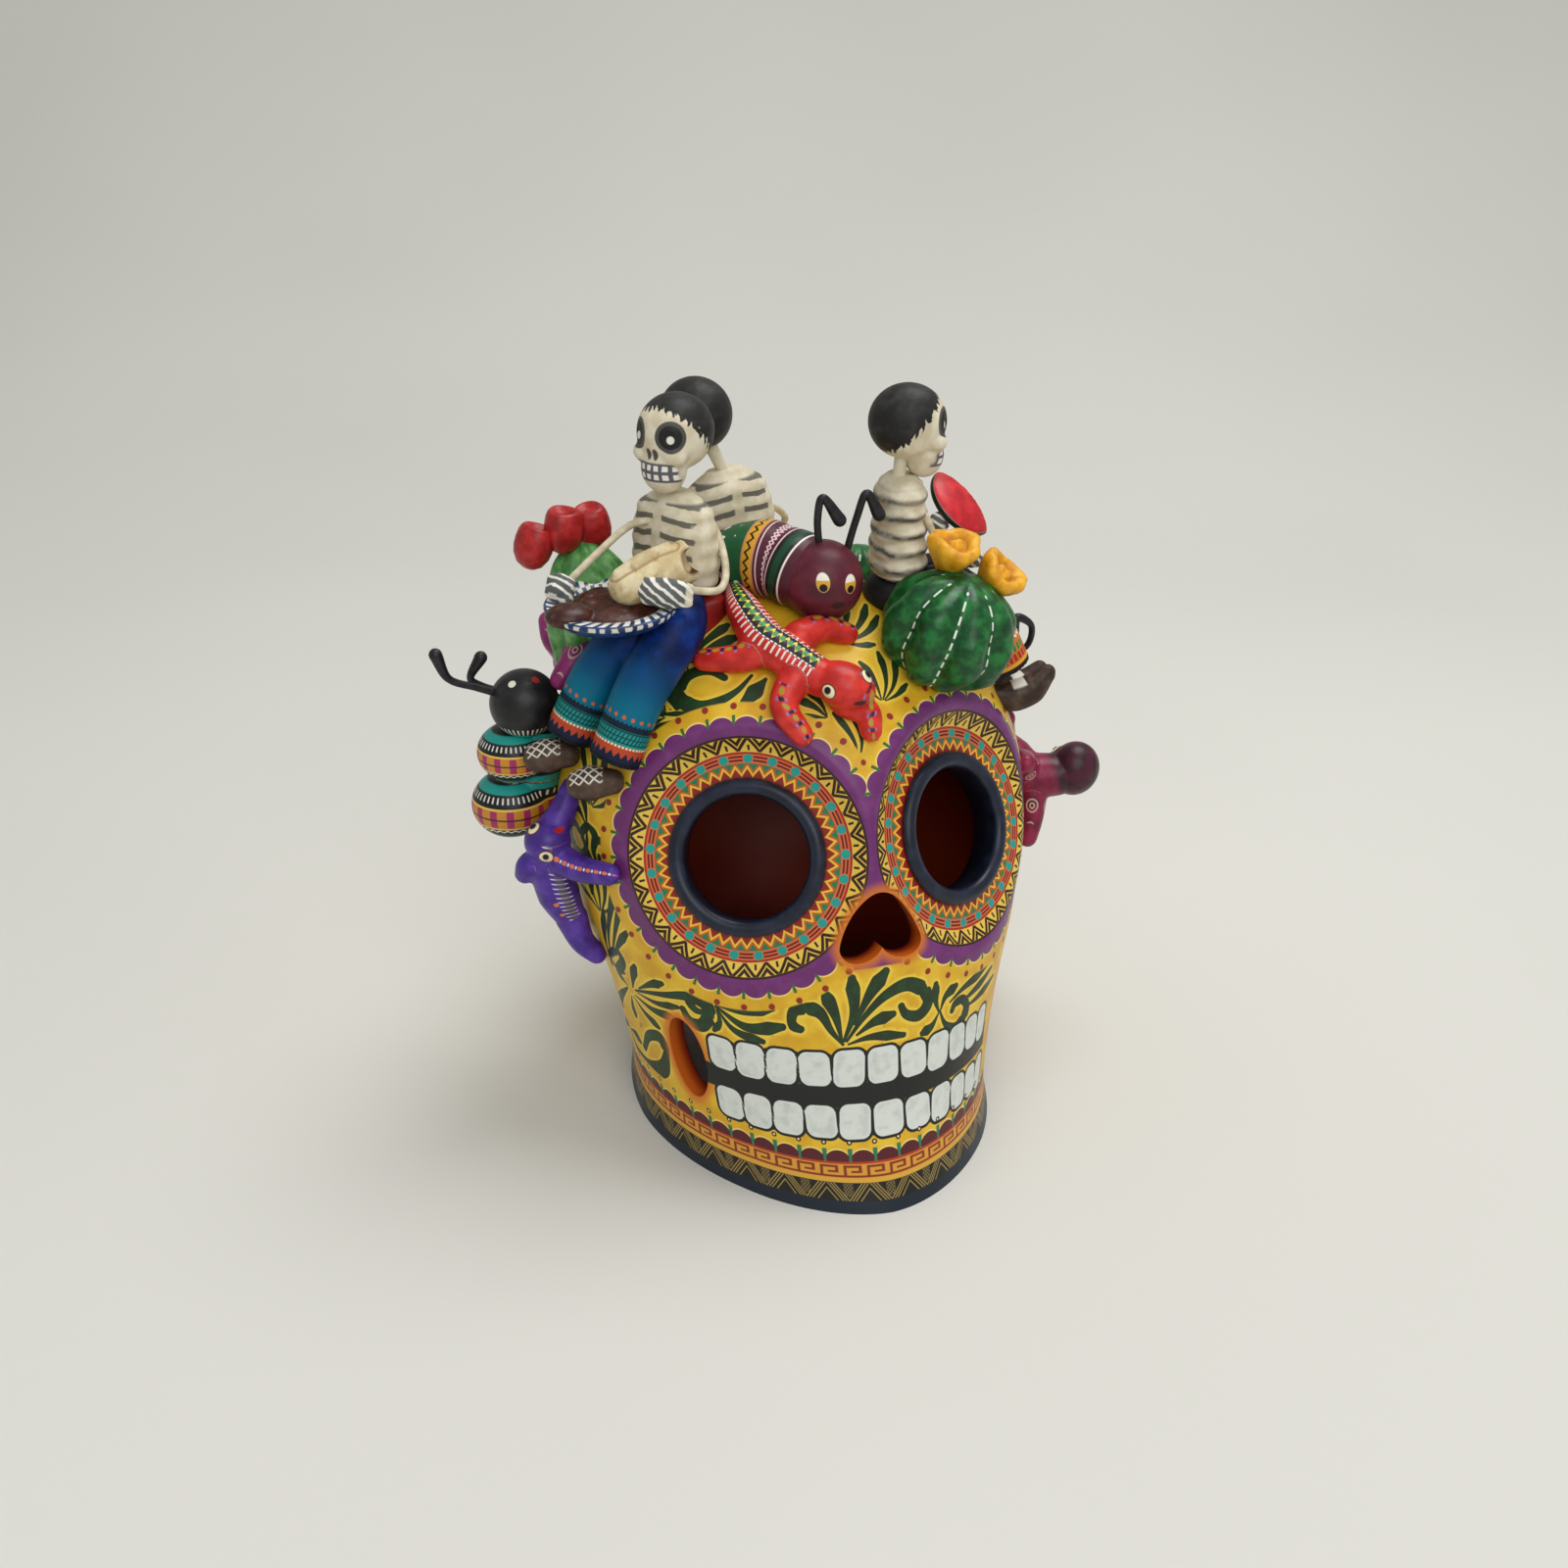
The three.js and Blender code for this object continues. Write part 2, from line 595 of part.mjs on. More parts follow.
function cheekCut(side) {
  const shape = new THREE.Shape();
  shape.absellipse(0, 0, CHEEK_HALF_WIDTH, CHEEK_HALF_HEIGHT, 0, Math.PI * 2, false, side * -CHEEK_LEAN);
  const [x, y, z] = CHEEK_CENTRE;
  return slab(shape, CHEEK_CUT_REACH * 2).applyMatrix4(facing([side * x, y, z], side * CHEEK_YAW, 0));
}

function eyeCut(frame) {
  const radius = EYE_HOLE_RADIUS + EYE_SLEEVE_WALL + CLEARANCE;
  return cylinder(radius, EYE_CUT_REACH * 2).applyMatrix4(frame);
}

// Trims the orbit level so that the rim's bead seats on it
function eyeSeat(frame) {
  const post = cylinder(EYE_BEAD_RADIUS + CLEARANCE, EYE_CUT_REACH);
  return post.translate(0, 0, EYE_CUT_REACH / 2).applyMatrix4(frame);
}

const skull = figure('skull', [0, 0, 0]);
piece({
  parent: skull,
  name: 'skull_shell',
  material: look('#d9a61f', 0.55),
  build: () => [skullSkin(DETAIL.skull, 0, 0)],
  carve: [
    skullSkin(DETAIL.cavity, SKULL_WALL, SKULL_WALL),
    ...eyeFrames.map(eyeCut),
    ...eyeFrames.map(eyeSeat),
    noseCut(),
    cheekCut(-1),
    cheekCut(1),
  ],
  swollen: solid(skullSkin(DETAIL.skull, -CLEARANCE, 0)),
});

// Eye rims: a rolled coil of clay that lines each socket and laps on the flat orbit
function eyeRim() {
  const sleeve = EYE_HOLE_RADIUS + EYE_SLEEVE_WALL;
  const foot = -SKULL_WALL - EYE_SLEEVE_OVERHANG;
  const throat = [EYE_HOLE_RADIUS + EYE_HOLE_TAPER, foot];
  return lathe([
    throat,
    [sleeve, foot],
    [sleeve, CLEARANCE],
    [EYE_BEAD_RADIUS, CLEARANCE],
    [EYE_BEAD_RADIUS - EYE_BEAD_ROUNDING, EYE_BEAD_HEIGHT - EYE_BEAD_ROUNDING],
    [(EYE_HOLE_RADIUS + EYE_BEAD_RADIUS) / 2, EYE_BEAD_HEIGHT],
    [EYE_HOLE_RADIUS, EYE_BEAD_HEIGHT / 2],
    throat,
  ], DETAIL.eye);
}

['eye_rim_right', 'eye_rim_left'].forEach((name, side) => {
  const mesh = new THREE.Mesh(geometryOf(solid(eyeRim())), look('#1c2440'));
  eyeFrames[side].decompose(mesh.position, mesh.quaternion, mesh.scale);
  mesh.name = name;
  skull.add(mesh);
});

// Skeleton parts
function skeletonHead(grow) {
  return [
    ellipsoid([0, 0, 0], HEAD_RADII, DETAIL.head, grow),
    ellipsoid(JAW_CENTRE, JAW_RADII, DETAIL.jaw, grow),
  ];
}

function sockets() {
  const [x, y, z] = SOCKET_CENTRE;
  return [-x, x].map((side) => ellipsoid([side, y, z], SOCKET_RADII, DETAIL.socket, 0));
}

// Barrel chest whose radius dips between one rib and the next
function ribcage(grow) {
  const curve = new THREE.SplineCurve(TORSO_SHAPE.map((p) => new THREE.Vector2(...p)));
  const rows = RIB_COUNT * 2;
  const rings = [];
  for (let row = 0; row <= rows; row += 1) {
    const at = curve.getPoint(row / rows);
    const groove = 1 - RIB_DEPTH * (row % 2);
    const radius = at.x * TORSO_HALF_WIDTH * groove + grow;
    const end = Math.sign(row - rows / 2) * (row % rows === 0 ? grow : 0);
    rings.push(ringOf(DETAIL.torso, (angle) => new THREE.Vector3(
      radius * Math.cos(angle),
      radius * TORSO_DEPTH_RATIO * Math.sin(angle),
      at.y * TORSO_HEIGHT + end,
    )));
  }
  return [skin(rings)];
}

// The neck is a peg that bites into the torso below it and the head above it
function neckPath([low, high]) {
  const bite = vec(high).sub(vec(low)).normalize().multiplyScalar(NECK_BITE);
  return [vec(low).sub(bite).toArray(), vec(high).add(bite).toArray()];
}

function skeleton(label, plan) {
  const parent = figure(label, plan.seat);
  const bone = look(BONE, 0.6);
  const add = (part, options) => piece({ parent, name: `${label}_${part}`, ...options });
  for (const [side, path] of Object.entries(plan.arms)) {
    const radii = [WIRE_RADIUS, WIRE_RADIUS];
    add(`${side}_arm`, {
      material: look(WIRE),
      build: (grow) => [tube(path, radii, DETAIL.wire, grow)],
    });
  }
  add('neck', {
    material: bone.clone(),
    build: (grow) => [tube(neckPath(plan.neck), [NECK_RADIUS, NECK_RADIUS], DETAIL.neck, grow)],
  });
  for (const [side, { at, radii, turn }] of Object.entries(plan.hands)) {
    add(`${side}_hand`, {
      material: bone.clone(),
      place: pose(at, turn),
      build: (grow) => [ellipsoid([0, 0, 0], radii, DETAIL.hand, grow)],
    });
  }
  add('head', {
    material: bone.clone(),
    place: pose(plan.head, plan.headTurn),
    build: skeletonHead,
    carve: sockets(),
  });
  add('torso', { material: bone.clone(), place: pose(plan.seat, plan.torsoTurn), build: ribcage });
  add('trousers', {
    material: look(plan.trouserColour),
    build: (grow) => [
      ellipsoid(plan.hips, plan.hipRadii, DETAIL.hips, grow),
      ...plan.legs.map((path) => tube(path, LEG_RADII, DETAIL.leg, grow)),
    ],
  });
  for (const [side, path] of Object.entries(plan.shoes)) {
    add(`${side}_shoe`, {
      material: look(SHOE_BROWN, 0.55),
      build: (grow) => [tube(path, SHOE_RADII, DETAIL.shoe, grow)],
    });
  }
  return parent;
}

// Left skeleton with its stool and meal
const diner = skeleton('left_skeleton', LEFT_SKELETON);
piece({
  parent: diner,
  name: 'red_stool',
  material: look('#8e1c1c', 0.55),
  place: pose(STOOL_CENTRE, [0, 0, 0]),
  build: (grow) => [lathe([
    [0, -STOOL_HEIGHT],
    [STOOL_RADIUS + grow, -STOOL_HEIGHT],
    [STOOL_RADIUS + grow, -STOOL_EDGE[1]],
    [STOOL_RADIUS - STOOL_EDGE[0] + grow, grow],
    [0, grow],
  ], DETAIL.turned)],
});
piece({
  parent: diner,
  name: 'plate',
  material: look('#1d2b4d', 0.35),
  place: pose(PLATE_CENTRE, PLATE_TILT),
  build: (grow) => [lathe([
    [0, -grow],
    [PLATE_FOOT_RADIUS + grow, -grow],
    [PLATE_RADIUS + grow, PLATE_HEIGHT - PLATE_THICKNESS],
    [PLATE_RADIUS + grow, PLATE_HEIGHT + grow],
    [PLATE_RADIUS - PLATE_THICKNESS - grow, PLATE_HEIGHT + grow],
    [PLATE_FOOT_RADIUS, PLATE_THICKNESS + grow],
    [0, PLATE_THICKNESS + grow],
  ], DETAIL.turned)],
});
piece({
  parent: diner,
  name: 'rolled_taco',
  material: look('#d8c79a', 0.65),
  build: (grow) => [
    tube(TACO_ROLL, TACO_RADII, DETAIL.taco, grow),
    tube(TACO_FOLD, TACO_FOLD_RADII, DETAIL.fold, grow),
  ],
  carve: [tube(TACO_MOUTH, TACO_MOUTH_RADII, DETAIL.mouth, 0)],
});
piece({
  parent: diner,
  name: 'mole_sauce',
  material: look('#4a2420', 0.45),
  place: pose(PLATE_CENTRE, PLATE_TILT),
  build: (grow) => [MOLE_MOUND, MOLE_SPILL].map(({ at, radii }) => (
    ellipsoid(at, radii, DETAIL.mole, grow)
  )),
});

// Right skeleton with its slice of watermelon
function melonShape(grow) {
  const shape = new THREE.Shape();
  const radius = MELON_RADIUS + grow;
  shape.absarc(0, 0, radius, Math.PI, Math.PI * 2, false);
  shape.quadraticCurveTo(0, MELON_BULGE + grow, -radius, 0);
  return shape;
}

piece({
  parent: skeleton('right_skeleton', RIGHT_SKELETON),
  name: 'watermelon_slice',
  material: look('#c81e28', 0.45),
  place: pose(MELON_CENTRE, MELON_TURN),
  build: (grow) => [slab(melonShape(grow), MELON_THICKNESS + grow * 2)],
});

skeleton('back_skeleton', BACK_SKELETON);

// Bugs: a ball head, a body of swelling rings and two bent wire antennae
function bug(label, plan) {
  const parent = figure(label, plan.head);
  const add = (part, material, build) => piece({ parent, name: `${label}_${part}`, material, build });
  for (const [side, path] of Object.entries(plan.antennae)) {
    add(`${side}_antenna`, look(ANTENNA_BLACK, 0.4), (grow) => [
      tube(path, ANTENNA_RADII, DETAIL.antenna, grow),
    ]);
  }
  const ball = [plan.headRadius, plan.headRadius, plan.headRadius];
  add('head', look(plan.colours[0]), (grow) => [ellipsoid(plan.head, ball, DETAIL.ball, grow)]);
  add('body', look(plan.colours[1]), (grow) => [
    ...plan.beads.map(({ at, radii }) => ellipsoid(at, radii, DETAIL.bead, grow)),
    tube(plan.body, plan.bodyRadii, DETAIL.body, grow),
  ]);
}
bug('top_bug', TOP_BUG);
bug('left_bug', LEFT_BUG);
bug('right_bug', RIGHT_BUG);

// Lizards: a swept body with a blunt head and four short legs
for (const [name, plan] of Object.entries(LIZARDS)) {
  const headPose = pose(plan.head.at, plan.head.turn);
  const stout = (radii) => radii.map((radius) => radius * plan.girth);
  piece({
    parent: figure(`${name}_place`, plan.head.at),
    name,
    material: look(plan.colour, 0.45),
    build: (grow) => [
      tube(plan.spine, stout(LIZARD_SPINE_RADII), DETAIL.spine, grow),
      ellipsoid([0, 0, 0], plan.head.radii, DETAIL.lizardHead, grow).applyMatrix4(headPose),
      ...plan.legs.map((path) => tube(path, LIZARD_LEG_RADII, DETAIL.lizardLeg, grow)),
    ],
  });
}

// Cacti: ribbed barrels, yellow flowers on the front one and red fruit on the left one
function ribbedBarrel({ radius, height }, grow) {
  const rings = [];
  for (let row = 0; row < DETAIL.cactusRows; row += 1) {
    const rise = ((row + 0.5) / DETAIL.cactusRows - 0.5) * Math.PI;
    rings.push(ringOf(CACTUS_RIBS * 2, (turn) => {
      const rib = 1 + CACTUS_RIB_DEPTH * Math.cos(turn * CACTUS_RIBS);
      const reach = (radius * rib + grow) * Math.cos(rise);
      const z = height / 2 + (height / 2 + grow) * Math.sin(rise);
      return new THREE.Vector3(reach * Math.cos(turn), reach * Math.sin(turn), z);
    }));
  }
  return skin(rings);
}

const cacti = figure('cacti', CACTI.front_cactus.at);
for (const [name, plan] of Object.entries(CACTI)) {
  piece({
    parent: cacti,
    name,
    material: look(plan.colour),
    place: pose(plan.at, plan.turn),
    build: (grow) => [ribbedBarrel(plan, grow)],
  });
}
for (const [name, { at, turn }] of Object.entries(FLOWERS)) {
  piece({
    parent: cacti,
    name,
    material: look('#e0a01c', 0.55),
    place: pose(at, turn),
    build: (grow) => [lathe([
      [0, FLOWER_FOOT - grow],
      ...FLOWER_OUTSIDE.map(([radius, z]) => [radius + grow, z]),
      ...FLOWER_INSIDE.map(([radius, z]) => [radius, z + grow]),
      [0, FLOWER_KNOB + grow],
    ], DETAIL.flower)],
  });
}
for (const [name, at] of Object.entries(FRUITS)) {
  piece({
    parent: cacti,
    name,
    material: look('#a81c1f'),
    place: pose(at, [0, 0, 0]),
    build: (grow) => [ellipsoid([0, 0, 0], FRUIT_RADII, DETAIL.fruit, grow)],
  });
}

// The origin is the middle of the overall box, at table level
const overall = new THREE.Box3().setFromObject(group).getCenter(new THREE.Vector3());
group.position.set(-overall.x, -overall.y, 0);

export default group;
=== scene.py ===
# %% [markdown]
# # A painted clay skull and its figures
# The real object is a hollow skull of fired clay with small clay figures stuck on it, all painted by hand
# and varnished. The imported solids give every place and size. This lesson makes a finer copy of each solid
# and paints it, layer by layer, with patterns that are worked out from the surface itself.

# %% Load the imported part
from math import cos, pi, sin, tau

import bpy
import numpy as np
from mathutils import Euler, Matrix, Vector
from mathutils.bvhtree import BVHTree
from mathutils.kdtree import KDTree


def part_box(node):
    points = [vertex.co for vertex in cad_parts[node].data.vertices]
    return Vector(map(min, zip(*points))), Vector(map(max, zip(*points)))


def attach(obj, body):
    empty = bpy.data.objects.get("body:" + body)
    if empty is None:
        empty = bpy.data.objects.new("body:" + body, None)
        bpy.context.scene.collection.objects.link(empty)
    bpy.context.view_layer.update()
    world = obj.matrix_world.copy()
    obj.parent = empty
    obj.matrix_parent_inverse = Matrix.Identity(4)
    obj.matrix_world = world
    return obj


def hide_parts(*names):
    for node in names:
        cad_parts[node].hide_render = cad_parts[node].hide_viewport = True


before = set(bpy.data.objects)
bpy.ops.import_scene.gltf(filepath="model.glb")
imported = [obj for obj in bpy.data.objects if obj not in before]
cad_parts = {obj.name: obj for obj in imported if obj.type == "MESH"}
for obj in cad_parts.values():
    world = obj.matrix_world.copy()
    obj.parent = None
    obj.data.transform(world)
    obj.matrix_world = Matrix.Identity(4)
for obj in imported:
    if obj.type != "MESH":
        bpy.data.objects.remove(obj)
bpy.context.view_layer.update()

MM = 0.001

# %% [markdown]
# ## One frame for the maker's sizes
# The maker measures in millimetres from the middle of the chin line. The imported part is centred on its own
# box instead, so one shift, read from the eye rims and the shell, carries every size below into the part.

# %% The shift from the maker's frame to the part
FACE_MIDLINE = -0.75
CHIN_FRONT = -62.0
rims = [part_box("eye_rim_right"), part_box("eye_rim_left")]
SHIFT = Vector((
    (rims[0][0][0] + rims[1][1][0]) / 2 / MM - FACE_MIDLINE,
    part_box("skull_shell")[0][1] / MM - CHIN_FRONT,
    0.0,
))


def place(point):
    return (Vector(point) + SHIFT) * MM


print("shift in mm:", [round(value, 3) for value in SHIFT])

# %% [markdown]
# ## Camera
# The camera stands above and to the left of the face and looks down, as the photographer did. It could be
# aimed by eye at a target, but its place, turn, pitch and lens are given as numbers, so that the drawings
# further down can be held up to the same camera and carried onto the clay.

# %% Camera
CAMERA_PLACE = (-134.82, -361.73, 279.0)
CAMERA_YAW, CAMERA_PITCH, CAMERA_ROLL = 0.32903, 0.44213, 0.01535
CAMERA_LENS, SENSOR_WIDTH = 36.206, 36
level = Vector((cos(CAMERA_YAW), -sin(CAMERA_YAW), 0))
ahead = Vector((sin(CAMERA_YAW) * cos(CAMERA_PITCH), cos(CAMERA_YAW) * cos(CAMERA_PITCH), -sin(CAMERA_PITCH)))
above = level.cross(ahead)
across = level * cos(CAMERA_ROLL) + above * sin(CAMERA_ROLL)
upward = above * cos(CAMERA_ROLL) - level * sin(CAMERA_ROLL)
lens = bpy.data.cameras.new("photo_camera")
lens.lens, lens.sensor_width, lens.clip_start = CAMERA_LENS, SENSOR_WIDTH, 0.01
camera = bpy.data.objects.new("photo_camera", lens)
bpy.context.scene.collection.objects.link(camera)
aim = Matrix((across, upward, -ahead)).transposed().to_4x4()
camera.matrix_world = Matrix.Translation(place(CAMERA_PLACE)) @ aim
bpy.context.scene.camera = camera
bpy.context.scene.view_settings.view_transform = "Standard"
print("camera at", [round(value, 3) for value in camera.location])

# %% [markdown]
# ## Picking, applying and closing
# Blender's operators act on what is selected, as hands act on what they hold. These helpers pick one piece,
# apply its place or a modifier, and close a mesh by merging doubled points and pointing its faces outward.


# %% Tools for picking, applying and closing
def clear():
    bpy.ops.object.select_all(action="DESELECT")


def pick(*objects):
    clear()
    for item in objects:
        item.select_set(True)
    bpy.context.view_layer.objects.active = objects[0]
    return objects[0]


def settle(piece):
    pick(piece)
    bpy.ops.object.transform_apply(location=True, rotation=True, scale=True)
    return piece


def modify(piece, kind, **settings):
    pick(piece)
    step = piece.modifiers.new(kind.lower(), kind)
    for key, value in settings.items():
        setattr(step, key, value)
    bpy.ops.object.modifier_apply(modifier=step.name)
    return piece


def close_up(gap):
    """Merges points of the active piece closer than the gap, in mm, and points its faces outward."""
    bpy.ops.object.mode_set(mode="EDIT")
    bpy.ops.mesh.select_all(action="SELECT")
    bpy.ops.mesh.remove_doubles(threshold=gap * MM)
    bpy.ops.mesh.normals_make_consistent(inside=False)
    bpy.ops.object.mode_set(mode="OBJECT")


print("modelling tools ready")

# %% [markdown]
# ## Paint in layers
# A painter lays a ground colour first and every pattern over it. Here each layer is a colour and a mask,
# and a mask is a sum on numbers that vary over the surface. The nodes could be linked one by one in the
# editor, but hundreds of them are needed. A small class lets those sums be written as plain Python, and
# adds one Math node for each operation.

# %% Values that vary over a surface
EDGE = 0.09


def srgb(code):
    parts = [int(code[i:i + 2], 16) / 255 for i in (1, 3, 5)]
    return (*(c / 12.92 if c <= 0.04045 else ((c + 0.055) / 1.055) ** 2.4 for c in parts), 1.0)


class Value:
    """A number that varies over a surface."""

    def __init__(self, paint, socket):
        self.paint, self.socket = paint, socket

    def math(self, operation, *others):
        return self.paint.node("ShaderNodeMath", {"operation": operation}, dict(enumerate((self, *others))))

    def __add__(self, other):
        return self.math("ADD", other)

    def __sub__(self, other):
        return self.math("SUBTRACT", other)

    def __rsub__(self, other):
        return self.math("MULTIPLY_ADD", -1.0, other)

    def __mul__(self, other):
        return self.math("MULTIPLY", other)

    def __truediv__(self, other):
        return self.math("DIVIDE", other)

    def __pow__(self, other):
        return self.math("POWER", other)

    def __abs__(self):
        return self.math("ABSOLUTE")

    __radd__, __rmul__ = __add__, __mul__

    def under(self, limit, soft=EDGE):
        """One where the value is below the limit, with a soft edge."""
        value = self - limit if isinstance(limit, Value) else self
        middle = 0.0 if isinstance(limit, Value) else limit
        ends = {0: value, 1: middle - soft, 2: middle + soft, 3: 1.0, 4: 0.0}
        return self.paint.node("ShaderNodeMapRange", {"interpolation_type": "SMOOTHSTEP"}, ends)

    def over(self, limit, soft=EDGE):
        return 1.0 - self.under(limit, soft)

    def within(self, low, high, soft=EDGE):
        return self.over(low, soft) * self.under(high, soft)

    def fold(self, period):
        """Distance to the nearest whole number of periods."""
        return self.math("PINGPONG", period / 2)

    def cell(self, period):
        """Place inside its own period, from 0 to 1."""
        return (self / period).math("FRACT")

    def least(self, other):
        return self.math("MINIMUM", other)

    def most(self, other):
        return self.math("MAXIMUM", other)


def length(*parts):
    total = parts[0] * parts[0]
    for part in parts[1:]:
        total = total + part * part
    return total.math("SQRT")


# %% Paints
class Paint:
    """A material whose colour is built up in layers."""

    def __init__(self, name, ground):
        self.material = bpy.data.materials.new(name)
        self.material.use_nodes = True
        self.tree = self.material.node_tree
        self.shader = self.tree.nodes["Principled BSDF"]
        self.colour = srgb(ground)

    def node(self, kind, settings, inputs, output=0):
        made = self.tree.nodes.new(kind)
        for key, value in settings.items():
            setattr(made, key, value)
        for key, value in inputs.items():
            if isinstance(value, Value):
                self.tree.links.new(value.socket, made.inputs[key])
            else:
                made.inputs[key].default_value = value
        return Value(self, made.outputs[output])

    def layer(self, code, mask):
        colour = srgb(code) if isinstance(code, str) else code
        sockets = {0: mask, 6: self.colour, 7: colour}
        self.colour = self.node("ShaderNodeMix", {"data_type": "RGBA"}, sockets, 2)
        return self

    def number(self, name):
        return self.node("ShaderNodeAttribute", {"attribute_name": name}, {}, 2)

    def triple(self, name):
        vector = self.node("ShaderNodeAttribute", {"attribute_name": name}, {}, 1)
        return [self.node("ShaderNodeSeparateXYZ", {}, {0: vector}, axis) for axis in range(3)]

    def noise(self, size, detail=3.0):
        where = self.node("ShaderNodeTexCoord", {}, {}, 3)
        sockets = {"Vector": where, "Scale": 1 / (size * MM), "Detail": detail}
        return self.node("ShaderNodeTexNoise", {}, sockets)

    def brushed(self, dark, light, size=6.0):
        """Thin and thick places in the ground colour."""
        cloud = self.noise(size, 5.0)
        self.layer(dark, cloud.under(0.44, 0.16) * 0.75)
        return self.layer(light, cloud.over(0.58, 0.14) * 0.6)

    def done(self, roughness=0.42, coat=0.08, bump=0.12, grain=1.1, shine=0.3):
        if isinstance(self.colour, Value):
            self.tree.links.new(self.colour.socket, self.shader.inputs["Base Color"])
        else:
            self.shader.inputs["Base Color"].default_value = self.colour
        worn = self.noise(grain * 3, 4.0)
        gloss = worn * 0.22 + (roughness - 0.11)
        self.tree.links.new(gloss.socket, self.shader.inputs["Roughness"])
        self.shader.inputs["Specular IOR Level"].default_value = shine
        self.shader.inputs["Coat Weight"].default_value = coat
        self.shader.inputs["Coat Roughness"].default_value = 0.25
        height = self.noise(grain, 4.0)
        relief = {"Strength": bump, "Distance": 0.4 * MM, "Height": height}
        normal = self.node("ShaderNodeBump", {}, relief)
        self.tree.links.new(normal.socket, self.shader.inputs["Normal"])
        return self.material


print("paint tools ready")

# %% [markdown]
# ## Backdrop and light
# The backdrop is one pale sheet that lies under the object and curves up behind it. Two planes would leave
# a line where they meet, so one plane gets a rising edge and a wide bevel. The light is a soft box over the
# right shoulder and a weaker one in front, in a pale room, so every shadow is faint and wide.

# %% Backdrop sheet
SHEET_SIDE, SHEET_RISE, SHEET_BEND = 4.0, 2.6, 1.1
clear()
bpy.ops.mesh.primitive_plane_add(size=SHEET_SIDE, location=(0, 0, 0))
floor = bpy.context.object
floor.name = "pale_sheet"
bpy.ops.object.mode_set(mode="EDIT")
bpy.ops.mesh.select_mode(type="EDGE")
bpy.ops.mesh.select_all(action="DESELECT")
bpy.ops.object.mode_set(mode="OBJECT")
for edge in floor.data.edges:
    edge.select = all(floor.data.vertices[i].co.y > 0 for i in edge.vertices)
bpy.ops.object.mode_set(mode="EDIT")
bpy.ops.mesh.extrude_region_move(TRANSFORM_OT_translate={"value": (0, 0, SHEET_RISE)})
bpy.ops.object.mode_set(mode="OBJECT")
modify(floor, "BEVEL", width=SHEET_BEND, segments=24, limit_method="ANGLE")
bpy.ops.object.shade_smooth()
floor.location = (0.35, -0.55, 0)
floor.rotation_euler = (0, 0, -CAMERA_YAW)
settle(floor)
sheet = Paint("pale_sheet", "#dcdad3")
sheet.layer("#d2d0c9", sheet.noise(420.0, 2.0).over(0.5, 0.3) * 0.6)
floor.data.materials.append(sheet.done(roughness=0.6, coat=0.0, bump=0.02, grain=4.0))
print("backdrop faces:", len(floor.data.polygons))

# %% Pale room
# The room lights the object with one colour, and the camera sees a greyer one past the end of the sheet
world = bpy.data.worlds.new("pale_room")
bpy.context.scene.world = world
world.use_nodes = True
room, join = world.node_tree.nodes, world.node_tree.links
room["Background"].inputs["Color"].default_value = (0.93, 0.95, 0.94, 1)
room["Background"].inputs["Strength"].default_value = 0.5
seen_room, either = room.new("ShaderNodeBackground"), room.new("ShaderNodeMixShader")
seen_room.inputs["Color"].default_value = (0.66, 0.66, 0.63, 1)
join.new(room.new("ShaderNodeLightPath").outputs["Is Camera Ray"], either.inputs["Fac"])
join.new(room["Background"].outputs[0], either.inputs[1])
join.new(seen_room.outputs[0], either.inputs[2])
join.new(either.outputs[0], room["World Output"].inputs["Surface"])
print("room nodes:", len(room))


# %% Soft boxes
def soft_box(name, at, aim, size, power):
    light = bpy.data.lights.new(name, "AREA")
    light.shape, light.size, light.energy = "DISK", size, power
    lamp = bpy.data.objects.new(name, light)
    bpy.context.scene.collection.objects.link(lamp)
    lamp.location = at
    lamp.rotation_euler = (Vector(aim) - Vector(at)).to_track_quat("-Z", "Y").to_euler()


LIGHT_AIM = (0, 0, 0.08)
soft_box("over_right_shoulder", (0.36, 0.12, 1.3), LIGHT_AIM, 0.8, 9.0)
soft_box("front_fill", (-0.15, -1.15, 0.95), LIGHT_AIM, 1.1, 7.4)
print("soft boxes:", len(bpy.data.lights))

# %% [markdown]
# ## Shapes that a potter uses
# Almost everything here is a ball, a coil or a turned form. Balls and coils are pressed together and the
# joint is rubbed smooth: in Blender that is a join, a voxel remesh and a little smoothing. A coil is a
# curve with a radius at each point, and a turned form is a profile that is spun around an axis. Sculpting
# could give the same forms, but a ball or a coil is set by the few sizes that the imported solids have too.


# %% Balls and smooth curves
def ball(at, radii, turn=(0, 0, 0), detail=40):
    clear()
    bpy.ops.mesh.primitive_uv_sphere_add(segments=detail, ring_count=detail // 2, radius=1)
    piece = bpy.context.object
    piece.scale, piece.rotation_euler, piece.location = Vector(radii) * MM, turn, place(at)
    return settle(piece)


def hermite(b, c, leave, arrive, t):
    """A smooth step from b to c that leaves and arrives with the given slopes."""
    return b + t * (leave + t * (3 * c - 3 * b - 2 * leave - arrive + t * (2 * b - 2 * c + leave + arrive)))


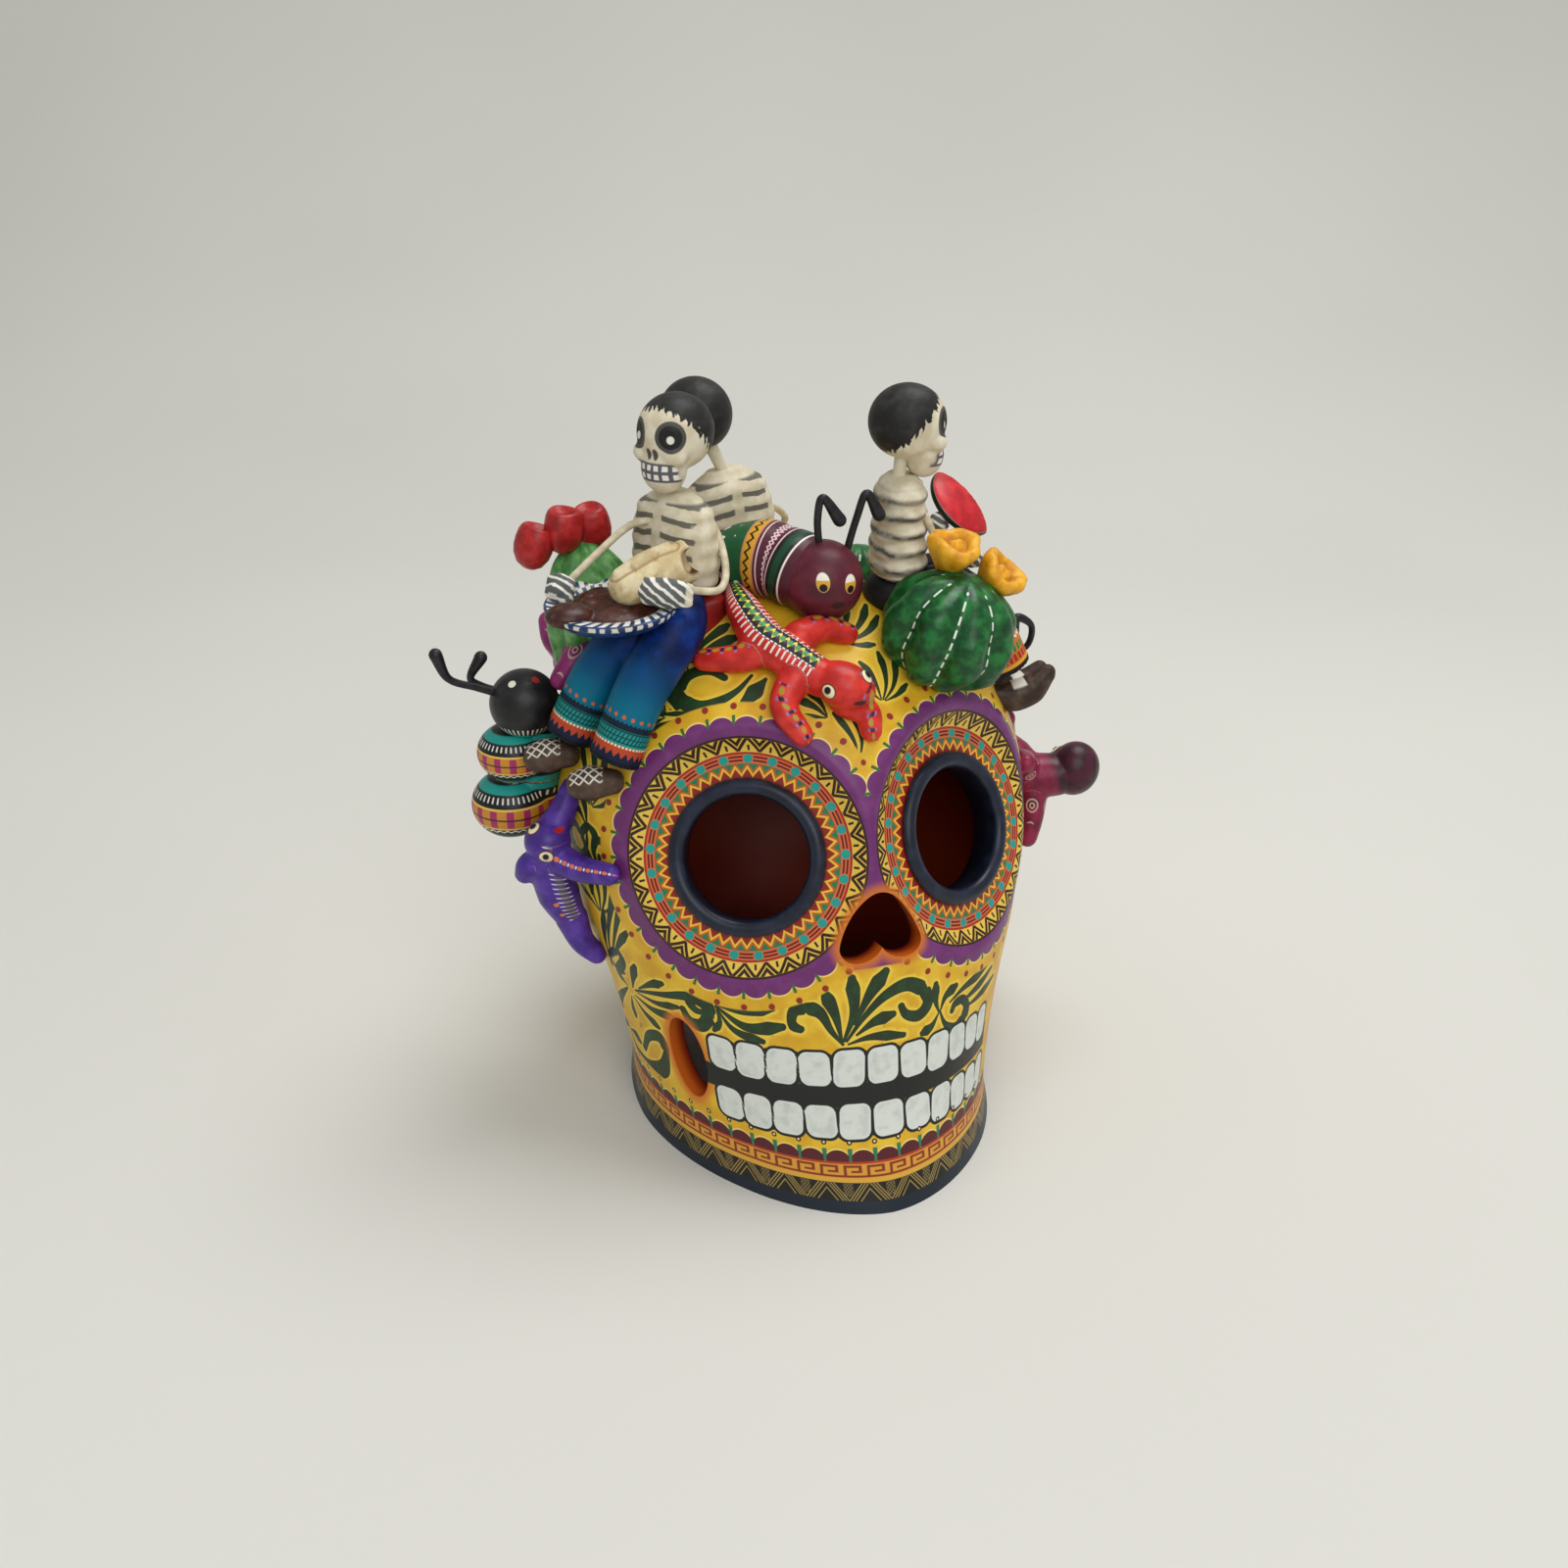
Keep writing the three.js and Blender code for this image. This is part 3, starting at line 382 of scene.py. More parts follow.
def smooth_path(path, steps=64):
    """Evenly spaced points on a smooth curve through the given ones."""
    points = np.array(path, float)
    points = np.vstack([2 * points[0] - points[1], points, 2 * points[-1] - points[-2]])
    t = np.linspace(0, 1, 40)[:, None]
    runs = []
    for a, b, c, d in zip(points, points[1:], points[2:], points[3:]):
        u, v, w = (np.linalg.norm(q - p) ** 0.5 for p, q in ((a, b), (b, c), (c, d)))
        leave = ((b - a) / u - (c - a) / (u + v) + (c - b) / v) * v
        arrive = ((c - b) / v - (d - b) / (v + w) + (d - c) / w) * v
        runs.append(hermite(b, c, leave, arrive, t))
    dense = np.vstack(runs)
    travel = np.concatenate([[0], np.cumsum(np.linalg.norm(np.diff(dense, axis=0), axis=1))])
    even = np.linspace(0, travel[-1], steps + 1)
    return np.stack([np.interp(even, travel, dense[:, k]) for k in range(3)], 1)


print("balls and curves ready")


# %% Coils and turned forms
CAP_TURNS = np.radians((25, 50, 70, 86))


def coil(path, radii, steps=56, flat_end=False):
    """A round coil of clay or wire with rounded ends."""
    spine = smooth_path(path, steps)
    girth = np.interp(np.linspace(0, 1, steps + 1), np.linspace(0, 1, len(radii)), radii)
    first, last = spine[0] - spine[1], spine[-1] - spine[-2]
    first, last = first / np.linalg.norm(first), last / np.linalg.norm(last)
    rows = list(zip(spine, girth))
    for turn in CAP_TURNS:
        rows.insert(0, (spine[0] + first * girth[0] * sin(turn), girth[0] * cos(turn)))
        if not flat_end:
            rows.append((spine[-1] + last * girth[-1] * sin(turn), girth[-1] * cos(turn)))
    clear()
    bpy.ops.curve.primitive_nurbs_path_add()
    piece = bpy.context.object
    shape = piece.data
    shape.splines.clear()
    run = shape.splines.new("POLY")
    run.points.add(len(rows) - 1)
    for knot, (point, radius) in zip(run.points, rows):
        knot.co = (*place(point), 1)
        knot.radius = radius
    shape.dimensions, shape.bevel_depth, shape.bevel_resolution = "3D", MM, 14
    shape.use_fill_caps = True
    bpy.ops.object.convert(target="MESH")
    close_up(0.02)
    bpy.ops.object.shade_smooth()
    return bpy.context.object


def turned(profile, steps=72):
    """Spins a profile of radius and height, in mm, around the Z axis."""
    clear()
    bpy.ops.mesh.primitive_plane_add(size=MM)
    piece = bpy.context.object
    bpy.ops.object.mode_set(mode="EDIT")
    bpy.ops.mesh.select_mode(type="VERT")
    bpy.ops.mesh.select_all(action="SELECT")
    bpy.ops.mesh.merge(type="CENTER")
    start = Vector((profile[0][0], 0, profile[0][1])) * MM
    bpy.ops.transform.translate(value=start)
    for (r0, z0), (r1, z1) in zip(profile, profile[1:]):
        move = {"value": ((r1 - r0) * MM, 0, (z1 - z0) * MM)}
        bpy.ops.mesh.extrude_region_move(TRANSFORM_OT_translate=move)
    bpy.ops.mesh.select_all(action="SELECT")
    bpy.ops.mesh.spin(steps=steps, angle=tau, center=(0, 0, 0), axis=(0, 0, 1))
    close_up(0.01)
    bpy.ops.object.shade_smooth()
    return piece


print("coils and turned forms ready")


# %% Standing, pressing and cutting
def stand(piece, at, turn=(0, 0, 0)):
    piece.location, piece.rotation_euler = place(at), turn
    return settle(piece)


def pressed(parts, voxel=0.5, rubs=8):
    """Joins clay forms and rubs the joints smooth."""
    pick(*parts)
    if len(parts) > 1:
        bpy.ops.object.join()
    piece = bpy.context.object
    modify(piece, "REMESH", mode="VOXEL", voxel_size=voxel * MM)
    modify(piece, "SMOOTH", factor=0.5, iterations=rubs)
    bpy.ops.object.shade_smooth()
    return piece


def cut(piece, tool):
    modify(piece, "BOOLEAN", operation="DIFFERENCE", solver="EXACT", object=tool)
    bpy.data.objects.remove(tool)
    return piece


print("joining and cutting ready")

# %% [markdown]
# ## Numbers that the paint reads
# A pattern has to follow its piece: around a leg, along a back, outward from an eye. Unwrapping every piece
# would leave seams and stretch. Here each point keeps a few measures instead, such as its place in the
# piece's own frame or how far along its coil it lies, and the paint compares those.


# %% Points and measures
def bare_points(piece):
    flat = np.empty(len(piece.data.vertices) * 3)
    piece.data.vertices.foreach_get("co", flat)
    return flat.reshape(-1, 3)


def move_points(piece, points):
    piece.data.vertices.foreach_set("co", points.ravel())
    piece.data.update()


def corners(piece):
    """Every point of a piece, in the maker's frame."""
    return bare_points(piece) / MM - np.array(SHIFT)


def write(piece, name, values):
    kind, key = ("FLOAT_VECTOR", "vector") if values.ndim == 2 else ("FLOAT", "value")
    made = piece.data.attributes.new(name, kind, "POINT")
    made.data.foreach_set(key, np.ascontiguousarray(values, np.float32).ravel())


def own_frame(piece, at, turn=(0, 0, 0)):
    """Writes each point's place in the piece's own frame, in mm."""
    write(piece, "local", (corners(piece) - np.array(at)) @ np.array(Euler(turn).to_matrix()))


def in_frame(point, at, turn):
    """A point of a piece's own frame, in the maker's frame."""
    return Euler(turn).to_matrix() @ Vector(point) + Vector(at)


# %% Measures along a coil
FOLLOW_STEPS = 100


def follow(piece, paths, radii, up):
    """Writes how far along its coil each point is, how far from the end, and the turn from the upper side."""
    points = corners(piece)
    share = np.linspace(0, 1, FOLLOW_STEPS + 1)
    best = np.full(len(points), np.inf)
    along, togo, turn, limb = (np.zeros(len(points)) for _ in range(4))
    up = np.array(up, float)
    for number, (path, girth) in enumerate(zip(paths, radii)):
        spine = smooth_path(path, FOLLOW_STEPS)
        course = np.gradient(spine, axis=0)
        course /= np.linalg.norm(course, axis=1)[:, None]
        pitch = np.linalg.norm(spine[1] - spine[0])
        gap = np.linalg.norm(points[:, None, :] - spine[None, :, :], axis=2)
        gap -= np.interp(share, np.linspace(0, 1, len(girth)), girth)
        near = gap.argmin(1)
        gap = gap[np.arange(len(points)), near]
        offset = points - spine[near]
        forward = course[near]
        drift = (offset * forward).sum(1)
        top = up - forward * (forward @ up)[:, None]
        top /= np.maximum(np.linalg.norm(top, axis=1), 1e-6)[:, None]
        side = np.cross(forward, top)
        won = gap < best
        best = np.where(won, gap, best)
        along = np.where(won, near * pitch + drift, along)
        togo = np.where(won, (FOLLOW_STEPS - near) * pitch - drift, togo)
        turn = np.where(won, np.arctan2((offset * side).sum(1), (offset * top).sum(1)), turn)
        limb = np.where(won, number, limb)
    for name, values in (("along", along), ("togo", togo), ("turn", turn), ("limb", limb)):
        write(piece, name, values)


# %% Handing a finished piece to the part
def dress(piece, node, material):
    """Paints a piece and shows it in place of its solid."""
    piece.name = piece.data.name = node + "_painted"
    piece.data.materials.clear()
    piece.data.materials.append(material)
    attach(piece, "root")
    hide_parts(node)
    print(node, len(piece.data.polygons), "faces")


print("measures ready")

# %% [markdown]
# ## The skull's skin
# The skull is a hollow pot: an upright form whose outline changes with height, pressed flat around each
# eye. It could be sculpted, but the paint needs to know every point's height and angle. So a ball with many
# columns is the start, and each of its points moves to the place on the skull that has the same height step
# and the same angle. More columns fall on the face, where the finest painting is.

# %% Skull sizes
SKULL_WALL = 6.0
SKULL_HEIGHT = 149.0
SKULL_SKEW, SKULL_SKEW_START = 0.045, -40.0
SKULL_CORE = np.array((0, 5, 85))
# height, half width, front, back, widest line, roundness of the front
SKULL_STATIONS = np.array((
    (0, 51, CHIN_FRONT, 64, 0, 1.75), (10, 50, -57.5, 64, 2, 1.8), (24, 52, -53, 67, 6, 1.9),
    (42, 56, -49.5, 73, 12, 2), (62, 62.5, -46.5, 80, 18, 2), (84, 66, -42, 84, 22, 2),
    (104, 63, -36, 82, 21, 2), (122, 53.5, -26, 72, 19, 2), (137, 38.5, -10, 54, 17, 2),
    (146, 21, 4, 36, 17, 2), (SKULL_HEIGHT, 0, 17, 17, 17, 2),
))
EYE_OFFSET, EYE_Y, EYE_Z = 28.55, -24.6, 91.0
EYE_YAW, EYE_PITCH = 0.49, 0.36
EYE_FLAT, EYE_BLEND = 26.0, 34.0
EYE_HOLE, EYE_SLEEVE, EYE_BEAD = 16.2, 18.1, 20.3


def facing(at, yaw, pitch):
    """Across, up and outward directions of an opening, with its middle."""
    normal = np.array((sin(yaw) * cos(pitch), -cos(yaw) * cos(pitch), sin(pitch)))
    level_line = np.array((cos(yaw), sin(yaw), 0))
    return np.array(at, float), level_line, np.cross(normal, level_line), normal


EYES = [facing((FACE_MIDLINE + s * EYE_OFFSET, EYE_Y, EYE_Z), s * EYE_YAW, EYE_PITCH) for s in (-1, 1)]
print("skull stations:", len(SKULL_STATIONS))


# %% Skull surface
def station(column, u):
    """One column of the stations at a height step from 0 to 1."""
    values = SKULL_STATIONS[:, column]
    last = len(values) - 1
    spot = np.clip(u, 0, 1) * last
    low = np.minimum(spot.astype(int), last - 1)
    t = spot - low
    a, b = values[np.maximum(low - 1, 0)], values[low]
    c, d = values[low + 1], values[np.minimum(low + 2, last)]
    leave, arrive = (c - a) / 2, (d - b) / 2
    return hermite(b, c, leave, arrive, t)


def skull_point(u, angle, inset=0.0, orbits=True):
    """The skull's surface at a height step and an angle, or a surface inside it by the inset."""
    u, angle = np.broadcast_arrays(np.asarray(u, float), np.asarray(angle, float))
    z, half, front, back, widest, roundness = (station(k, u) for k in range(6))
    face = np.sin(angle) < 0
    reach = np.maximum(np.where(face, widest - front, back - widest) - inset, 0)
    bend = 2 / np.where(face, roundness, 2)
    x = np.maximum(half - inset, 0) * np.sign(np.cos(angle)) * np.abs(np.cos(angle)) ** bend
    y = widest + reach * np.sign(np.sin(angle)) * np.abs(np.sin(angle)) ** bend
    x = x - SKULL_SKEW * np.maximum(y - SKULL_SKEW_START, 0)
    point = np.stack([x, y, z * (1 - inset / SKULL_HEIGHT)], -1)
    for middle, wide, tall, out in EYES if orbits else ():
        offset = point - middle
        t = np.clip((np.hypot(offset @ wide, offset @ tall) - EYE_FLAT) / (EYE_BLEND - EYE_FLAT), 0, 1)
        weight = (1 - t * t * (3 - 2 * t)) * (((point - SKULL_CORE) @ out) > 0)
        point = point - out * ((offset @ out + inset) * weight)[..., None]
    return point


# %% Skull skin
SKULL_COLUMNS, SKULL_ROWS, FACE_BIAS = 470, 168, 0.28
HOLLOW_COLUMNS, HOLLOW_ROWS = 120, 60


def skull_skin(columns, rows, inset=0.0, sink=0.0):
    """A closed skin of the skull, whose flat base may sink below the ground to cut it open."""
    clear()
    bpy.ops.mesh.primitive_uv_sphere_add(segments=columns, ring_count=rows, radius=1)
    piece = bpy.context.object
    start = bare_points(piece)
    turn = np.arctan2(start[:, 0], -start[:, 1])
    row = np.rint((np.arcsin(np.clip(start[:, 2], -1, 1)) / pi + 0.5) * rows)
    lowest = 2 if sink else 1
    u = np.clip((row - lowest) / (rows - lowest), 0, 1)
    made = skull_point(u, turn - FACE_BIAS * np.sin(turn) - pi / 2, inset)
    made[row < lowest, 2] -= sink
    made[row == 0] = (SKULL_CORE[0], SKULL_CORE[1], -sink)
    move_points(piece, (made + np.array(SHIFT)) * MM)
    close_up(0.005)
    return piece


skull = skull_skin(SKULL_COLUMNS, SKULL_ROWS)
outer_skin = BVHTree.FromPolygons(
    [vertex.co.copy() for vertex in skull.data.vertices],
    [tuple(face.vertices) for face in skull.data.polygons],
)
print("skull skin", len(skull.data.vertices), "points")

# %% [markdown]
# ## Cutting the hollow and the openings
# The potter leaves the base open and cuts the eyes, the nose and two slots in the cheeks through the wall.
# Faces could be deleted and the wall given by Solidify, but then the edges of the openings would follow the
# mesh. Each tool below is a prism with the outline of its opening, and Boolean modifiers take them away.

# %% Outlines of the openings
NOSE_CENTRE, NOSE_TILT, NOSE_REACH = (0.4, -44, 76.5), 0.2, 17.0
NOSE_HALF_WIDTH, NOSE_TOP, NOSE_NOTCH = 11.2, 9.0, 3.4
CHEEK_X, CHEEK_Y, CHEEK_Z = 45.4, -24.0, 33.0
CHEEK_HALF, CHEEK_YAW, CHEEK_LEAN, CHEEK_REACH = (6.2, 12.2), 0.98, 0.22, 13.0
EYE_REACH = 16.0
OUTLINE_POINTS = 64


def bezier(a, b, c, d, count):
    t = np.arange(count)[:, None] / count
    a, b, c, d = (np.array(p, float) for p in (a, b, c, d))
    return (1 - t) ** 3 * a + 3 * t * (1 - t) ** 2 * b + 3 * t * t * (1 - t) * c + t ** 3 * d


def nose_outline():
    side, top = NOSE_HALF_WIDTH, NOSE_TOP
    quarter = OUTLINE_POINTS // 4
    cheek, notch = (side, -top * 0.6), (0, NOSE_NOTCH - top)
    outer = bezier((0, top), (side * 0.55, top), (side * 1.05, -top * 0.35), cheek, quarter)
    inner = bezier(cheek, (side * 0.9, -top * 1.2), (side * 0.2, -top * 1.1), notch, quarter)
    right = np.vstack([outer, inner])
    left = np.vstack([[notch], right[:0:-1] * (-1, 1)])
    return np.vstack([right, left])[::-1]


def ellipse_outline(half, lean=0.0):
    t = np.arange(OUTLINE_POINTS) / OUTLINE_POINTS * tau
    x, y = half[0] * np.cos(t), half[1] * np.sin(t)
    return np.stack([x * cos(lean) - y * sin(lean), x * sin(lean) + y * cos(lean)], 1)


print("nose outline points:", len(nose_outline()))


# %% Cutting
def prism(outline, spot, reach):
    """A cutting tool with the given outline, set along an opening's outward direction."""
    middle, wide, tall, out = spot
    clear()
    bpy.ops.mesh.primitive_cylinder_add(vertices=OUTLINE_POINTS, radius=1, depth=2)
    piece = bpy.context.object
    for vertex in piece.data.vertices:
        number = round(np.arctan2(vertex.co.y, vertex.co.x) / tau * OUTLINE_POINTS) % OUTLINE_POINTS
        x, y = outline[number]
        vertex.co = place(middle + wide * x + tall * y + out * reach * np.sign(vertex.co.z))
    close_up(0.005)
    return piece


cut(skull, skull_skin(HOLLOW_COLUMNS, HOLLOW_ROWS, SKULL_WALL, SKULL_WALL + 2))
for spot in EYES:
    cut(skull, prism(ellipse_outline((EYE_SLEEVE, EYE_SLEEVE)), spot, EYE_REACH))
cut(skull, prism(nose_outline(), facing(NOSE_CENTRE, 0, NOSE_TILT), NOSE_REACH))
for s in (-1, 1):
    spot = facing((s * CHEEK_X, CHEEK_Y, CHEEK_Z), s * CHEEK_YAW, 0)
    cut(skull, prism(ellipse_outline(CHEEK_HALF, -s * CHEEK_LEAN), spot, CHEEK_REACH))
pick(skull)
bpy.ops.object.shade_smooth_by_angle(angle=0.7)
print("skull after cutting", len(skull.data.vertices), "points")

# %% [markdown]
# ## Measuring the skull for its painter
# A painter works by distance: how far around the chin, how far from the edge of a tooth, how far from the
# middle of a brush stroke. These numbers are worked out once for every point and kept on the mesh, and the
# paint below only compares them with widths in millimetres.

# %% Distance around the skull
ROWS = np.linspace(0, 1, 301)
TURNS = np.linspace(-pi, pi, 721)
TINY = 1e-3
bare = skull_point(ROWS[:, None], TURNS[None, :] - pi / 2, orbits=False)
steps_round = np.linalg.norm(np.diff(bare, axis=1), axis=2)
AROUND = np.concatenate([np.zeros((len(ROWS), 1)), np.cumsum(steps_round, axis=1)], axis=1)
AROUND -= AROUND[:, len(TURNS) // 2][:, None]
ROW_HEIGHTS = station(0, ROWS)


def way_around(points):
    """How far around the skull, from the face's midline, each point lies."""
    u = np.interp(points[:, 2], ROW_HEIGHTS, ROWS)
    half, front, back, widest, roundness = (station(k, u) for k in range(1, 6))
    straight = points[:, 0] + SKULL_SKEW * np.maximum(points[:, 1] - SKULL_SKEW_START, 0)
    deep = points[:, 1] - widest
    face = deep < 0
    bend = np.where(face, roundness, 2) / 2
    deepest = np.maximum(np.where(face, widest - front, back - widest), TINY)
    side_share = np.abs(straight / np.maximum(half, TINY)) ** bend * np.sign(straight)
    deep_share = np.abs(deep / deepest) ** bend * np.sign(deep)
    row = u * (len(ROWS) - 1)
    column = (np.arctan2(side_share, -deep_share) + pi) / tau * (len(TURNS) - 1)
    r0 = np.minimum(row.astype(int), len(ROWS) - 2)
    c0 = np.minimum(column.astype(int), len(TURNS) - 2)
    up, on = row - r0, column - c0
    before = AROUND[r0, c0] * (1 - up) + AROUND[r0 + 1, c0] * up
    after = AROUND[r0, c0 + 1] * (1 - up) + AROUND[r0 + 1, c0 + 1] * up
    return before * (1 - on) + after * on


skull_points = corners(skull)
around = way_around(skull_points)
depth = np.array([outer_skin.find_nearest(vertex.co)[3] for vertex in skull.data.vertices]) / MM
print("around the chin:", round(around.min()), "to", round(around.max()), "mm")

# %% Teeth
# Each row: its middle around the skull, its height, half a tooth's height, and its fall per mm on the left
UPPER_TEETH = {"middle": 0.0, "height": 38.8, "half": 5.0, "drop": 0.06}
LOWER_TEETH = {"middle": 1.1, "height": 23.9, "half": 4.7, "drop": 0.07}
TOOTH_PITCH, TOOTH_LESS_LEFT, TOOTH_LESS_RIGHT = 9.3, 0.12, 0.36
TOOTH_SHARE, TOOTH_ROUND = 0.455, 2.3
TEETH_EACH_SIDE = 5
FAR_FROM_TEETH = 9.0


def tooth_place(k):
    less = TOOTH_LESS_LEFT if k < 0 else TOOTH_LESS_RIGHT
    return TOOTH_PITCH * k - less * k * abs(k)


def tooth_gaps(points, around):
    """Each point's distance from the edge of the nearest tooth, below zero inside it."""
    gaps = np.full(len(points), FAR_FROM_TEETH)
    for plan in (UPPER_TEETH, LOWER_TEETH):
        for k in range(-TEETH_EACH_SIDE, TEETH_EACH_SIDE + 1):
            middle = plan["middle"] + tooth_place(k)
            wide = (tooth_place(k + 0.5) - tooth_place(k - 0.5)) * TOOTH_SHARE
            tall = plan["half"] * (1 + 0.04 * sin(k * 4.1))
            above = points[:, 2] - (plan["height"] - plan["drop"] * max(middle, 0))
            qx = np.abs(around - middle + 0.05 * sin(k * 2.3) * above) - wide + TOOTH_ROUND
            qy = np.abs(above) - tall + TOOTH_ROUND
            outside = np.hypot(np.maximum(qx, 0), np.maximum(qy, 0))
            gaps = np.minimum(gaps, outside + np.minimum(np.maximum(qx, qy), 0) - TOOTH_ROUND)
    return gaps


tooth = tooth_gaps(skull_points, around)
print("tooth points:", int((tooth < 0).sum()))

# %% [markdown]
# ### Leaves
# Dark green leaves and scrolls fill the yellow ground. They could be painted on an image, but an image
# blurs when the camera comes close. Each brush stroke is a short curve laid on the clay instead, and every
# point of the skull near it keeps three measures: how far across the stroke it is, how wide the brush is
# there, and how far past its end. Strokes that lie close together are kept in separate lanes, so they never
# mix.

# %% Drawings of the leaves
# Each stroke is a few points in mm, across and up, then its greatest half width and where it is widest
FAN = (
    (((0, 0), (-3.1, 3.6), (-5.9, 8.1), (-9.7, 9.9)), 1.4, 0.9),
    (((-9.5, 9.9), (-12.8, 8.4), (-13, 4.9), (-10.8, 3.9)), 1.4, 0.1),
    (((-0.3, 0.9), (-2, 7.5), (-4.8, 13.4)), 1.5, 0.85),
    (((0.2, 0.9), (2.8, 8.6), (2.2, 17.2)), 1.6, 0.85),
    (((3, 5.3), (6.9, 13), (11, 19)), 1.6, 0.8),
    (((0.9, 0.9), (5.7, 7.5), (11.3, 13), (16.8, 15.6), (20.8, 14.4)), 1.5, 0.98),
    (((20.8, 14.4), (21.8, 11), (19.2, 7.6), (16, 8), (14.9, 10)), 1.5, 0.02),
    (((3.5, 2.5), (8, 5.9), (13, 8)), 1.2, 0.75),
    (((1.3, 0.1), (7, 2), (15.7, 2.6)), 0.9, 0.7),
)
BRANCH = (
    (((1.4, -1.1), (8.6, -2.2), (14.7, -2.7), (19.4, -4.8), (20.6, -7.6)), 1.6, 0.95),
    (((20.5, -7.5), (18.4, -10), (15.3, -8.8), (13.5, -5.8)), 1.6, 0.05),
    (((2.2, -0.6), (5.2, 0.4), (8.2, 0.7)), 1.1, 0.75),
    (((2, -1.8), (6.9, -4.4), (12.3, -5.4)), 0.9, 0.8),
    (((1.4, -2.4), (5.8, -6), (11.2, -8.2)), 1.1, 0.85),
    (((0.9, -2.6), (3.8, -6.8), (7.4, -10.6)), 1.0, 0.85),
    (((0.4, -2.6), (0.8, -5.2), (1.5, -7.6)), 1.2, 0.8),
    (((0.7, -0.3), (0.7, 2.5), (1.2, 5.1)), 1.3, 0.75),
    (((-0.6, 0.3), (-2.9, 3.6), (-1.9, 6.4), (-3.3, 9.3)), 1.4, 0.5),
    (((-3.3, 9.2), (-5, 8.4), (-4.6, 5.6)), 1.1, 0.1),
    (((-0.6, -0.3), (-2.3, -2.5), (-1.7, -5.1)), 1.4, 0.6),
)
SPIRAL = (
    (((0, 0), (2.4, -6.4), (6, -11.1), (9.1, -11.5), (10.1, -7)), 1.8, 0.8),
    (((10.1, -7), (8, -2.9), (5.2, -2.6), (4.1, -5.8)), 1.6, 0.05),
    (((0.4, -0.6), (1.8, -2.3), (3, -4.2)), 1.2, 0.6),
    (((0.2, -3.8), (1.1, -6.4), (1.7, -8.9)), 0.8, 0.6),
    (((-2.5, 4.4), (-1.6, 2.6), (-0.4, 0.9)), 1.4, 0.4),
)
GRASS = (
    (((0, 0), (-0.5, 7), (0.4, 14), (2.6, 23)), 1.2, 0.7),
    (((0.6, 0.4), (1.2, 6), (2.4, 12), (4, 17)), 1.1, 0.7),
    (((-0.5, 0.8), (-1.6, 6), (-1.8, 12)), 1.2, 0.7),
    (((0.8, -0.2), (2.4, 3.4), (4.6, 6.4)), 1.1, 0.7),
    (((0.4, -0.8), (1.6, -3), (3.6, -4.4)), 1.1, 0.7),
)
SPRIG = (
    (((0, 0), (7, -0.4), (15.6, 1.6)), 1.6, 0.8),
    (((0, -0.4), (8.2, -5), (18, -3.6)), 1.7, 0.8),
    (((0, -0.7), (4.6, -6.6), (12.6, -8.8)), 1.2, 0.8),
    (((0.2, -1.4), (0.8, -5), (-1.2, -8.4)), 1.2, 0.8),
    (((-0.7, 0.4), (-4.2, 1.9), (-7.6, 1.4), (-8.3, -0.8), (-6.4, -3.4), (-3.8, -3.5)), 1.4, 0.7),
    (((0.4, 0.6), (4, 4), (9.4, 6)), 1.3, 0.8),
)
CURL = (
    (((0, 0), (1.4, -5), (5.4, -8.6), (9, -7.8)), 1.7, 0.95),
    (((8.8, -7.9), (10.6, -4.6), (9, -1.2), (5.8, -0.8), (4.4, -2.4)), 1.7, 0.05),
    (((-0.4, 0), (-1, 4), (-0.2, 8.8)), 1.6, 0.8),
    (((0.2, 0.2), (2.6, 3.4), (7, 4.6)), 1.5, 0.8),
    (((-0.6, -0.4), (-3.4, -3), (-7, -3.8)), 1.3, 0.8),
)
FLAME = (
    (((0, 0), (1.2, 5), (0.4, 12)), 1.8, 0.75),
    (((0.8, 0.4), (4, 4.4), (5.8, 10.4)), 1.6, 0.8),
    (((-0.6, 0.4), (-2.6, 4.2), (-5.6, 7.6)), 1.5, 0.8),
)
SPRAY = (
    (((0, 0), (1.6, 6), (1.2, 13), (-0.8, 20)), 1.6, 0.8),
    (((0.7, 0), (4.2, 5), (6, 11), (5.8, 18)), 1.5, 0.8),
    (((-0.7, 0.2), (-2.4, 6), (-4.8, 11), (-8.4, 15)), 1.5, 0.8),
    (((1, -0.4), (6, 2.4), (10.4, 6.6)), 1.3, 0.8),
    (((-0.9, -0.3), (-5, 2.6), (-9.4, 5)), 1.3, 0.8),
)
SCROLL = (
    (((0, 0), (-3.6, -3.8), (-8, -6.4), (-13.3, -8), (-17.3, -6.7), (-18.7, -4)), 1.7, 0.85),
    (((-18.7, -4.1), (-17.3, -0.9), (-14.2, 0.9), (-10.2, 1.1), (-6.9, -0.6)), 1.5, 0.05),
    (((3.6, -0.9), (1.3, -3.6), (-1.8, -6.9)), 1.8, 0.5),
    (((-18.4, 0.9), (-21.5, -2.7), (-18.9, -8)), 1.6, 0.4),
    (((-15.8, 4), (-12, 8.4), (-6.2, 12.9)), 1.3, 0.9),
    (((-15.2, 3.4), (-9.6, 7.6), (-3.8, 9.8)), 1.3, 0.85),
    (((-16.2, 1.5), (-16.8, 3), (-15.8, 4.2)), 0.7, 0.5),
    (((-25.8, -9.8), (-20.4, -9.8), (-15, -9.4)), 0.6, 0.6),
    (((-26.7, -14.4), (-23, -13), (-20, -11.8)), 0.9, 0.5),
)
SWEEP = (
    (((-1.4, -2.6), (2, 1), (6, 4.6), (9.6, 9.2)), 1.0, 0.6),
    (((0.6, -3.4), (4, -0.4), (7.2, 3.2), (9.6, 6.8)), 0.9, 0.6),
    (((2.6, -4), (5.6, -1.4), (8.4, 2), (10, 4.6)), 0.9, 0.6),
)
